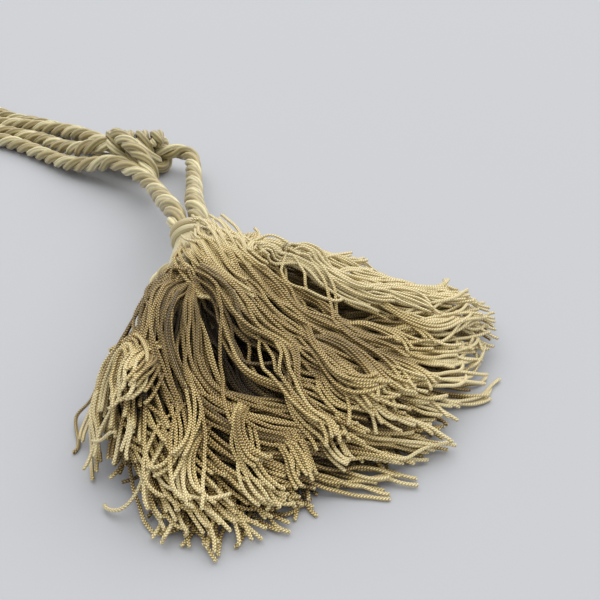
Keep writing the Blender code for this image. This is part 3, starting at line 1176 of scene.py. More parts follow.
@dataclass
class Pile:
    """Heights of everything that lies on the table so far, on a fine square grid.

    Attributes:
        cell: The side of a cell.
        low: The grid's corner with the least x and y.
        columns: Its cells along x.
        rows: Its cells along y.
        bridged: Cells of a gap so narrow that it counts as closed.
        stiffness: How far a thread bridges the hollows below it, in its points.
        seen_from: A height above everything.
    """

    cell: float = 0.75 * MM
    low: tuple[float, float] = (-112.0 * MM, -102.0 * MM)
    columns: int = 300
    rows: int = 256
    bridged: int = 5
    stiffness: int = 3
    seen_from: float = 0.2
    heights: Array = field(init=False)

    def __post_init__(self) -> None:
        """Start from the bare table."""
        self.heights = np.zeros((self.rows, self.columns))

    def centres(self) -> tuple[Array, Array]:
        """The middles of the cells.

        Returns:
            The x and the y of every one.
        """
        x = self.low[0] + (np.arange(self.columns) + 0.5) * self.cell
        y = self.low[1] + (np.arange(self.rows) + 0.5) * self.cell
        return np.meshgrid(x, y)

    def cells(self, plan: Array) -> tuple[Array, Array]:
        """The cells that points lie in.

        Args:
            plan: The points seen from above.

        Returns:
            The row and the column of each.
        """
        column = np.floor((plan[..., 0] - self.low[0]) / self.cell).astype(int)
        row = np.floor((plan[..., 1] - self.low[1]) / self.cell).astype(int)
        return np.clip(row, 0, self.rows - 1), np.clip(column, 0, self.columns - 1)

    def cast(self, nodes: Sequence[str]) -> Array:
        """Height of the top of some CAD nodes over every cell.

        Args:
            nodes: Their names.

        Returns:
            The heights, zero where there is nothing.
        """
        x, y = self.centres()
        tops = np.zeros_like(x)
        down = Vector((0.0, 0.0, -1.0))
        for name in nodes:
            node = bpy.data.objects[name]
            corners = [node.matrix_world @ vertex.co for vertex in node.data.vertices]
            tree = BVHTree.FromPolygons(corners, [tuple(face.vertices)
                                                  for face in node.data.polygons])
            box = np.array(corners)
            inside = ((x > box[:, 0].min()) & (x < box[:, 0].max())
                      & (y > box[:, 1].min()) & (y < box[:, 1].max()))
            for row, column in zip(*np.nonzero(inside)):
                above = Vector((x[row, column], y[row, column], self.seen_from))
                hit = tree.ray_cast(above, down)[0]
                if hit is not None:
                    tops[row, column] = max(tops[row, column], hit.z)
        return tops

    def roof(self) -> Array:
        """Heights of the pile with its narrow gaps closed over, evened out."""
        closed = grown(grown(self.heights, np.maximum, self.bridged), np.minimum, self.bridged)
        return evened(closed, 2)

    def rest(self, plan: Array, radius: Array, firmness: float) -> Array:
        """Heights of a thread that is laid on the pile.

        Args:
            plan: The thread's line seen from above.
            radius: Its radius at each point.
            firmness: How little it sinks in between the threads below, from 0 to 1.

        Returns:
            The height of its middle at each point.
        """
        floor = np.maximum(self.under(plan, radius) + radius * firmness, radius)
        height = floor
        for _ in range(4):
            height = np.maximum(floor, blurred(height, self.stiffness))
        return blurred(height, 1)

    def under(self, plan: Array, radius: Array) -> Array:
        """Height of the pile below a line, over the thread's width.

        Args:
            plan: The thread's line seen from above.
            radius: Its radius at each point.

        Returns:
            The height at each point.
        """
        across = sideways(plan) * radius[:, None] * 0.6
        found = [self.heights[self.cells(plan + across * side)] for side in (-1, 0, 1)]
        return 0.5 * np.max(found, axis=0) + 0.5 * np.mean(found, axis=0)

    def lay(self, line: Array, radius: Array, firmness: float) -> None:
        """Raise the pile to the top of a thread.

        Args:
            line: The thread's middle.
            radius: Its radius at each point.
            firmness: How much of its thickness stands up, from 0 to 1.
        """
        reach = 2
        fine = even(np.column_stack((line, radius)), self.cell)
        row, column = self.cells(fine)
        for up in range(-reach, reach + 1):
            for side in range(-reach, reach + 1):
                there = np.clip(row + up, 0, self.rows - 1), np.clip(column + side, 0,
                                                                     self.columns - 1)
                x = self.low[0] + (there[1] + 0.5) * self.cell
                y = self.low[1] + (there[0] + 0.5) * self.cell
                away = (x - fine[:, 0]) ** 2 + (y - fine[:, 1]) ** 2
                inside = away < fine[:, 3] ** 2
                top = fine[:, 2] + firmness * np.sqrt(np.maximum(fine[:, 3] ** 2 - away, 0.0))
                np.maximum.at(self.heights, (there[0][inside], there[1][inside]), top[inside])


@dataclass(frozen=True)
class Tress:
    """A lock of threads laid on the pile; lengths in millimetres.

    Attributes:
        route: Points of its middle thread, with a height where it doesn't just rest on the pile.
        count: Its threads.
        widths: Its width at the root, half way and at the tips.
        tone: Its dye, from 0 to 1.
        curl: How far its tips curl aside, in degrees.
        curl_from: The share of its length at which they begin to.
        stray: How much its threads wander, 1 for the usual.
        tip_tone: The dye of the cut ends.
        root_height: Height at which it leaves the binding, where its root shows.
        stagger: How far apart its threads may begin.
        sunk: How deep in the pile it begins.
    """

    route: Sequence[tuple[float, ...]]
    count: int
    widths: tuple[float, float, float]
    tone: float
    curl: float = 25.0
    curl_from: float = 0.78
    stray: float = 1.0
    tip_tone: float = 0.85
    root_height: float = 0.0
    stagger: float = 0.0
    sunk: float = 0.0


@dataclass(frozen=True)
class Round:
    """A round of locks in the fan.

    Attributes:
        skip: How much of each thread's start is hidden, in millimetres.
        locks: Its locks.
        threads: The threads of each lock.
        tone: Their dye, from 0 to 1.
        firmness: How little they sink in between the threads below.
    """

    skip: float
    locks: int
    threads: int
    tone: float
    firmness: float


@dataclass(frozen=True)
class Hollow:
    """An oval hollow where the skirt parts; sizes in millimetres."""

    x: float
    y: float
    half_length: float
    half_width: float
    turn: float
    depth: float

    def offset(self, plan: Array) -> Array:
        """Points as seen from its middle.

        Args:
            plan: The points seen from above.

        Returns:
            Each point's place along and across it, with 1 at its edge.
        """
        angle = math.radians(self.turn)
        away = plan / MM - np.array((self.x, self.y))
        turned = away @ np.array(((math.cos(angle), -math.sin(angle)),
                                  (math.sin(angle), math.cos(angle))))
        return turned / np.array((self.half_length, self.half_width))

    def parted(self, plan: Array) -> Array:
        """A thread's line pushed out of it to either side.

        Args:
            plan: The line seen from above.

        Returns:
            The line that goes round the hollow.
        """
        angle = math.radians(self.turn)
        offset = self.offset(plan)
        distance = np.linalg.norm(offset, axis=1, keepdims=True)
        push = offset / np.maximum(distance, 0.1) * np.exp(-distance ** 2)
        push = push * np.array((0.30 * self.half_length, 0.75 * self.half_width)) * MM
        back = np.array(((math.cos(angle), math.sin(angle)), (-math.sin(angle), math.cos(angle))))
        return plan + push @ back


@dataclass
class KnittedSkirt:
    """The skirt: hundreds of fine knitted threads, spread like a fan on the table.

    Attributes:
        thread: Thickness of a thread.
        step: Distance between two points of a thread.
        batch_size: Threads in one piece.
        apex_height: Height at which the topmost threads leave the binding.
        root_zone: Length over which they come down to the pile, within root_slack of their
            start and root_rise for each metre run.
        sink_zone: Length over which a sunk thread comes up.
        lift_zone: Length of a thread's end that can stand up.
        highest: The most that a thread may rise.
        lock_width: The angle that a lock takes up, in degrees.
        stray_locks: Small locks laid across the others.
        painted_shade_from: Depth at which painted shade begins to darken a thread's dye, by
            painted_shade_strength over the depth deep.
        pad_share: The dark pad's height as a share of the CAD skirt's, less pad_less.
        pad_slope: The pad's steepest side, as rise over run.
        pad_below: How far the pad lies below the threads, with none of it under pad_least.
        pad_cover: Height of threads that hides the pad.
        pad_bridged: Cells of a gap in the threads that is too narrow to matter.
        pad_inset: Cells from the threads' edge to the pad's.
        pad_step: Cells to one face of the pad.
    """

    thread: float = 1.42 * MM
    step: float = 2.0 * MM
    batch_size: int = 230
    apex_height: float = 42.0 * MM
    root_zone: float = 16.0 * MM
    root_slack: float = 3.0 * MM
    root_rise: float = 0.4
    sink_zone: float = 14.0 * MM
    lift_zone: float = 26.0 * MM
    highest: float = 55.0 * MM
    lock_width: float = 4.6
    stray_locks: int = 46
    painted_shade_from: float = 0.9 * MM
    deep: float = 7.0 * MM
    painted_shade_strength: float = 0.70
    pad_share: float = 0.85
    pad_less: float = 10.5 * MM
    pad_slope: float = 1.1
    pad_below: float = 0.3 * MM
    pad_least: float = 1.2 * MM
    pad_cover: float = 1.5 * MM
    pad_bridged: int = 4
    pad_inset: int = 10
    pad_step: int = 4
    random: np.random.Generator = field(default_factory=lambda: np.random.default_rng(SEED))
    pile: Pile = field(default_factory=Pile)
    strands: list[tuple[Array, Array, Array]] = field(default_factory=list)

    def build(self) -> None:
        """Lay the threads from below, make them, and put the dark pad under them."""
        finish = KnittedThread().build()
        pad = self._packed()
        bare = self.pile.heights.copy()
        for tress in UNDER_TRESSES:
            self._tress(tress)
        self._fan()
        for tress in TRESSES:
            self._tress(tress)
        self._strays()
        for wisp in WISPS:
            self._tress(wisp)
        pieces = self._twined()
        padding = self._padding(pad, bare)
        for index, piece in enumerate(pieces):
            piece.data.materials.append(finish)
            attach(piece, "root")
            if index == 0:
                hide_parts("skirt")
        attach(padding, "root")
        LOG.info("skirt: %d threads in %d pieces", len(self.strands), len(pieces))

    def _packed(self) -> Array:
        """Pack the threads deep in the skirt, which the others are laid on.

        Returns:
            Their height over every cell.
        """
        tops = self.pile.cast(("skirt",))
        pad = self._sloped(np.maximum(0.0, tops * self.pad_share - self.pad_less))
        plan = np.stack(self.pile.centres(), axis=-1)
        for hollow in HOLLOWS:
            pad = pad - hollow.depth * MM * np.exp(-np.sum(hollow.offset(plan) ** 2, axis=-1))
        pad = evened(np.maximum(pad, 0.0), 3)
        self.pile.heights = np.maximum(pad, self.pile.cast(("head_bell", "ring_cord",
                                                            "collar_cream", "collar_tan")))
        return pad

    def _sloped(self, pad: Array) -> Array:
        """Heights with no side steeper than a heap of threads can have.

        Args:
            pad: The heights over the cells.

        Returns:
            The lowered heights.
        """
        slope = self.pad_slope * self.pile.cell
        for _ in range(60):
            for axis in (0, 1):
                for way in (-1, 1):
                    pad = np.minimum(pad, np.roll(pad, way, axis=axis) + slope)
        return pad

    def _padding(self, pad: Array, bare: Array) -> Object:
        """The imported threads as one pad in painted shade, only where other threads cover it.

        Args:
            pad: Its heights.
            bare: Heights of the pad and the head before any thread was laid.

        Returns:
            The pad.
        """
        covered = (self.pile.heights > bare + self.pad_cover).astype(float)
        closed = grown(grown(covered, np.maximum, self.pad_bridged), np.minimum,
                       self.pad_bridged + self.pad_inset)
        pad = evened(self._sloped(pad * closed), 2) - self.pad_below
        corners = np.stack((*self.pile.centres(), pad), axis=-1)
        piece = heap("skirt_padding", corners[::self.pad_step, ::self.pad_step], self.pad_least)
        piece.data.materials.append(PackedThreads().build())
        return piece

    def _fan(self) -> None:
        """Rounds of locks from below, each begun nearer to the ring than the last."""
        for round_of_locks in ROUNDS:
            spots = np.linspace(FAN[0][0], FAN[-1][0], round_of_locks.locks)
            spots = spots + self.random.uniform(-2.0, 2.0, round_of_locks.locks)
            self.random.shuffle(spots)
            for azimuth in spots:
                self._fan_lock(float(azimuth), round_of_locks)

    def _fan_lock(self, azimuth: float, round_of_locks: Round) -> None:
        """One lock of the fan.

        Args:
            azimuth: The way from the ring's middle to its ends, in degrees.
            round_of_locks: The round that it belongs to.
        """
        random = self.random
        waves = [(random.uniform(5.0, 14.0), random.uniform(26.0, 64.0),
                  random.uniform(*ANY_PHASE)) for _ in range(2)]
        bow = looked_up(SWINGS, azimuth) + random.uniform(-16.0, 16.0)
        loose = looked_up(LOOSENESS, azimuth)
        curl = random.normal(0.0, 38.0)
        lock_tone = round_of_locks.tone + random.normal(0.0, 0.13)
        for place in range(round_of_locks.threads):
            aside = (place / (round_of_locks.threads - 1) - 0.5) + random.normal(0.0, 0.08)
            own = azimuth + aside * self.lock_width
            angle = math.radians(own)
            reach = looked_up(FAN, own) * random.uniform(0.88, 1.02)
            end = RING_CENTRE[:2] / MM + reach * np.array((math.cos(angle), math.sin(angle)))
            start = np.array((looked_up(FAN, own, 2), looked_up(FAN, own, 3)))
            start = start + random.uniform(-1.5, 1.5, 2)
            way = end - start
            length = float(np.linalg.norm(way))
            skipped = min(round_of_locks.skip * random.uniform(0.8, 1.2), 0.6 * length)
            heading = math.degrees(math.atan2(way[1], way[0]))
            run = np.arange(skipped, length, self.step / MM)
            share = run / length
            turn = heading - bow + 2.0 * bow * share
            for swing, wave, phase in waves:
                turn = turn + loose * swing * (0.2 + share) * np.sin(
                    TURN * run / wave + phase + aside * 0.9)
            own_swing = random.normal(0.0, 10.0)
            own_wave = random.uniform(14.0, 34.0)
            own_phase = random.uniform(*ANY_PHASE)
            turn = turn + loose * own_swing * share * np.sin(TURN * run / own_wave + own_phase)
            own_curl = curl + random.normal(0.0, 32.0)
            turn = turn + own_curl * eased((share - 0.72) / 0.28)
            root = (start + way / length * skipped) * MM
            plan = self._walk(root, turn)
            lift = looked_up(LIFTS, own) * random.uniform(0.0, 1.0)
            self._lay(plan, lock_tone + random.normal(0.0, 0.10), 1.0,
                      firmness=round_of_locks.firmness, lift=lift * MM,
                      root_height=self.apex_height if round_of_locks.skip < 1.0 else None)

    def _strays(self) -> None:
        """Small locks and single threads that come up between the others and cross them."""
        random = self.random
        for _ in range(self.stray_locks):
            azimuth = random.uniform(-112.0, 10.0)
            out = random.uniform(46.0, 84.0)
            angle = math.radians(azimuth)
            root = (RING_CENTRE[:2] / MM + out * np.array((math.cos(angle), math.sin(angle))))
            reach = looked_up(FAN, azimuth) - out
            length = max(22.0, min(70.0, reach * random.uniform(0.75, 1.0)))
            swing = random.choice((-1.0, 1.0)) * random.uniform(12.0, 42.0)
            wave = random.uniform(24.0, 60.0)
            phase = random.uniform(*ANY_PHASE)
            tone = random.normal(0.56, 0.16)
            curl = random.normal(0.0, 26.0)
            for place in range(int(random.integers(1, 6))):
                run = np.arange(0.0, length * random.uniform(0.85, 1.0), self.step / MM)
                share = run / length
                turn = azimuth + swing * np.cos(math.pi * share) + 9.0 * np.sin(
                    TURN * run / wave + phase + 0.4 * place)
                turn = turn + (curl + random.normal(0.0, 30.0)) * eased((share - 0.6) / 0.4)
                aside = np.array((-math.sin(angle), math.cos(angle))) * (place * 1.5)
                self._lay(self._walk((root + aside) * MM, turn), tone + random.normal(0.0, 0.05),
                          0.5, sunk=3.2 * MM)

    def _walk(self, root: Array, turn: Array) -> Array:
        """Points one step apart.

        Args:
            root: The first point.
            turn: The heading at each, in degrees.

        Returns:
            The points.
        """
        angle = np.radians(turn)
        moves = np.stack((np.cos(angle), np.sin(angle)), axis=1) * self.step
        return root + np.vstack((np.zeros(2), np.cumsum(moves[:-1], axis=0)))

    def _tress(self, tress: Tress) -> None:
        """Lay the threads of one tress side by side.

        Args:
            tress: The tress.
        """
        random = self.random
        middle = even(spline(np.array(tress.route, float) * MM), self.step)
        solid = middle.shape[1] == 3
        run = lengths(middle)
        share = run / run[-1]
        across = sideways(middle[:, :2])
        wide = np.interp(share, (0.0, 0.5, 1.0), np.array(tress.widths) * MM)
        order = random.permutation(tress.count)
        phase = random.uniform(*ANY_PHASE)
        for place in order:
            aside = np.zeros(len(run))
            if tress.count > 1:
                aside = aside + place / (tress.count - 1) - 0.5 + random.normal(0.0, 0.03)
                aside = aside + random.normal(0.0, 0.22) * tress.stray * eased(share * 1.3)
            wander = random.normal(0.0, 1.1) * tress.stray * MM
            wave = random.uniform(18.0, 44.0) * MM
            ripple = wander * eased(share / 0.25) * np.sin(
                TURN * run / wave + phase + random.normal(0.0, 0.8))
            plan = middle[:, :2] + across * (aside * wide + ripple)[:, None]
            skip = int(random.uniform(0.0, tress.stagger) * MM / self.step)
            keep = max(skip + 6, int(len(plan) * min(1.0, random.normal(0.92, 0.07))))
            plan = plan[:keep]
            heading = np.degrees(np.unwrap(np.arctan2(*np.gradient(plan, axis=0).T[::-1])))
            own = eased((share[:keep] - tress.curl_from) / (1.0 - tress.curl_from))
            heading = heading + own * (tress.curl + random.normal(0.0, 22.0 * tress.stray))
            begin = int(keep * tress.curl_from)
            tail = self._walk(plan[begin], heading[begin:])
            plan = np.vstack((plan[:begin], tail))[skip:]
            high = middle[skip:keep, 2] + random.normal(0.0, 0.5) * MM if solid else None
            self._lay(plan, tress.tone + random.normal(0.0, 0.11), 0.4, high, tress.tip_tone,
                      tress.root_height * MM if tress.root_height else None,
                      sunk=tress.sunk * MM)

    def _lay(self, plan: Array, tone: float, shift: float, high: Array | None = None,
             tip_tone: float = 0.85, root_height: float | None = None,
             firmness: float = 0.7, sunk: float = 0.0, lift: float = 0.0) -> None:
        """Lay one thread on the pile.

        Args:
            plan: Its line seen from above.
            tone: Its dye, from 0 to 1.
            shift: How far it may slide aside to lie lower, in thread widths.
            high: Its heights, where it doesn't simply rest on the pile.
            tip_tone: The dye of its cut end.
            root_height: Height at which it leaves the binding, where its start shows.
            firmness: How little it sinks in between the threads below.
            sunk: How deep in the pile it begins.
            lift: How far its end stands up.
        """
        plan = self._kinked(plan)
        run = lengths(plan)
        radius = 0.5 * self.thread * (0.86 + 0.14 * eased(run / (25.0 * MM)))
        plan = self._parted(self._settled(plan, radius, shift))
        height = self.pile.rest(plan, radius, firmness)
        if high is not None:
            height = np.maximum(height, high)
        if root_height is not None:
            free = eased(run / self.root_zone)
            start = root_height + self.random.uniform(-2.0, 1.0) * MM
            roof = start + self.root_slack + run * self.root_rise
            height = np.minimum(height, roof) * free + start * (1.0 - free)
        height = np.minimum(height, self.highest) - sunk * (1.0 - eased(run / self.sink_zone))
        height = height + lift * eased((run - run[-1]) / self.lift_zone + 1.0) ** 2
        line = even(np.column_stack((plan, height, radius)), self.step)
        radius = line[:, 3]
        line = line[:, :3]
        laid_from = 0 if root_height is None else int(0.7 * self.root_zone / self.step)
        if len(line) > laid_from + 3:
            self.pile.lay(line[laid_from:], radius[laid_from:], firmness)
        self.strands.append((line, radius, self._dyed(line, tone, tip_tone)))

    def _dyed(self, line: Array, tone: float, tip_tone: float) -> Array:
        """Dye of a thread, paler in faded places, towards the skirt's edge and at its cut end.

        Args:
            line: Its points.
            tone: Its own dye, from 0 to 1.
            tip_tone: The dye of its cut end.

        Returns:
            The dye at each point.
        """
        run = lengths(line)
        from_tip = (run[-1] - run) / MM
        place = line / MM
        here = tone + sum(more * np.exp(-((place[:, 0] - x) ** 2 + (place[:, 1] - y) ** 2)
                                        / spread ** 2) for x, y, spread, more in PALE_PLACES)
        out = np.linalg.norm(line[:, :2] - RING_CENTRE[:2], axis=1) / MM
        here = here - 0.13 + 0.36 * eased((out - 30.0) / 90.0)
        here = here + 0.07 * np.sin(run / (9.0 * MM) + self.random.uniform(*ANY_PHASE))
        faded = 0.50 * np.exp(-from_tip / 12.0) + 0.35 * np.exp(-from_tip / 1.5)
        return here + (tip_tone - here) * faded

    def _twined(self) -> list[Object]:
        """Make the threads, their dye darkened by painted shade where they lie deep and see no
        daylight.

        Returns:
            The pieces, each of them a batch of threads.
        """
        roof = self.pile.roof()
        pieces = []
        for first in range(0, len(self.strands), self.batch_size):
            batch = TubeBatch(f"skirt_threads_{len(pieces)}")
            for line, radius, tone in self.strands[first:first + self.batch_size]:
                # Painted shade: the deeper a thread lies under the pile's roof, the darker its dye.
                deep = roof[self.pile.cells(line)] - line[:, 2] - radius
                shaded_tone = tone - self.painted_shade_strength * eased((deep - self.painted_shade_from) / self.deep)
                batch.add(line, radius, ramp(shaded_tone))
            pieces.append(batch.build())
        return pieces

    def _kinked(self, plan: Array) -> Array:
        """The line with the small bends that a knitted thread keeps.

        Args:
            plan: The line seen from above.

        Returns:
            The bent line.
        """
        run = lengths(plan) / MM
        bend = np.zeros(len(run))
        for size, low, high in ((0.12, 8.0, 13.0), (0.40, 18.0, 36.0)):
            bend = bend + self.random.normal(0.0, size) * np.sin(
                TURN * run / self.random.uniform(low, high)
                + self.random.uniform(*ANY_PHASE))
        return plan + sideways(plan) * (bend * eased(run / 12.0) * MM)[:, None]

    def _parted(self, plan: Array) -> Array:
        """The line pushed aside where the skirt parts into hollows.

        Args:
            plan: The line seen from above.

        Returns:
            The line that goes round them.
        """
        for hollow in HOLLOWS:
            plan = hollow.parted(plan)
        return plan

    def _settled(self, plan: Array, radius: Array, shift: float) -> Array:
        """The line moved a little aside, to where the pile is lowest below it.

        Args:
            plan: The line seen from above.
            radius: The thread's radius at each point.
            shift: How far it may move, in thread widths.

        Returns:
            The moved line.
        """
        across = sideways(plan)
        ramp_in = eased(np.arange(len(plan)) / 12.0)[:, None]
        best, lowest = plan, math.inf
        for side in (0.0, -0.5, 0.5, -1.0, 1.0):
            moved = plan + across * ramp_in * side * shift * self.thread
            mean = float(np.mean(self.pile.under(moved, radius)))
            if mean < lowest - 0.02 * MM:
                best, lowest = moved, mean
        return best


# The skirt's edge and starts: azimuth in degrees and distance in millimetres of the ends from
# the ring's middle, then x and y of the place where the threads leave the binding.
FAN = (
    (-130, 50, -46.5, 21),
    (-118, 68, -46.5, 21), (-108, 73, -46, 21), (-103, 77, -46, 21),
    (-96, 100, -46, 20.5), (-90, 111, -45.5, 20), (-82, 116, -45.5, 20),
    (-75, 114, -45, 20), (-66, 108, -44, 20), (-58, 99, -43, 20),
    (-48, 109, -42, 20), (-38, 117, -41, 21), (-30, 115, -38, 22),
    (-21, 103, -35, 24), (-14, 110, -33, 26), (-7, 117, -31, 28),
    (0, 131, -28, 32), (7, 131, -26, 36), (11, 106, -25, 39),
    (20, 86, -25, 42), (29, 80, -25, 45), (38, 67, -25, 48),
    (52, 46, -26, 51), (66, 38, -30, 54),
)
# How loosely the threads wind on their way: azimuth, and times the usual.
LOOSENESS = ((-90, 0.9), (-50, 1.1), (-15, 1.5), (15, 1.4), (40, 1))
# How far the threads swing round to the right on their way: azimuth, and degrees.
SWINGS = ((-150, 26), (-100, 22), (-62, 32), (-20, 24), (8, 0), (60, -10))
# How far the ends of the threads can stand up: azimuth, and millimetres.
LIFTS = ((-60, 0), (-20, 2), (-4, 4), (3, 6), (10, 2), (20, 0))
# The rounds of the fan, lowest first; the lower rounds' darker dye is partly the threads' own and
# partly painted shade for the gaps between the threads above.
ROUNDS = (Round(34, 26, 6, 0.16, 0.40), Round(24, 36, 6, 0.36, 0.45),
          Round(14, 38, 6, 0.54, 0.50), Round(0, 28, 7, 0.58, 0.56))

# Hollows where the skirt parts.
HOLLOWS = (
    Hollow(-17, -10, 14, 8, -10, 18),
    Hollow(-5, 31, 13, 7, -8, 18),
    Hollow(1, 18, 8, 5.5, -20, 16),
    Hollow(-38, 6, 9, 3.5, -65, 10),
)

# Places where the dye has faded or is darker: x, y, spread in millimetres, and how much.
PALE_PLACES = (
    (-80, -20, 18, 0.30),
    (-72, -38, 13, 0.26),
    (-62, -54, 18, 0.24),
    (-40, -68, 16, 0.22),
    (-40, 48, 18, 0.42),
    (-12, 50, 16, 0.56),
    (22, 54, 30, 0.80),
    (84, 26, 34, 0.80),
    (62, -20, 24, 0.40),
    (48, -36, 22, 0.36),
    (10, -68, 20, 0.22),
    (-50, -4, 22, -0.16),
    (30, 5, 25, -0.56),
    (-6, 26, 12, -0.26),
    (-34, -38, 17, -0.26),
    (-2, -44, 14, -0.24),
)

# The tresses below all the others, at the back of the skirt.
UNDER_TRESSES = (
    Tress(((-44, 21, 36), (-47, 22, 32), (-50.5, 22, 25), (-53, 21, 16), (-56, 20, 8),
           (-58, 19, 3)), 10, (4, 8, 12), 0.40, 10),
    Tress(((-45, 20, 34), (-48, 17, 29), (-52, 12, 23), (-55.5, 8, 15), (-59.5, 5, 8),
           (-62.5, 3, 3)), 9, (4, 8, 12), 0.42, 10),
    Tress(((-27, 50, 38), (-24, 57, 31), (-20, 62, 22), (-17, 66, 12), (-14, 70, 4)),
          16, (8, 12, 16), 0.60, 0),
)

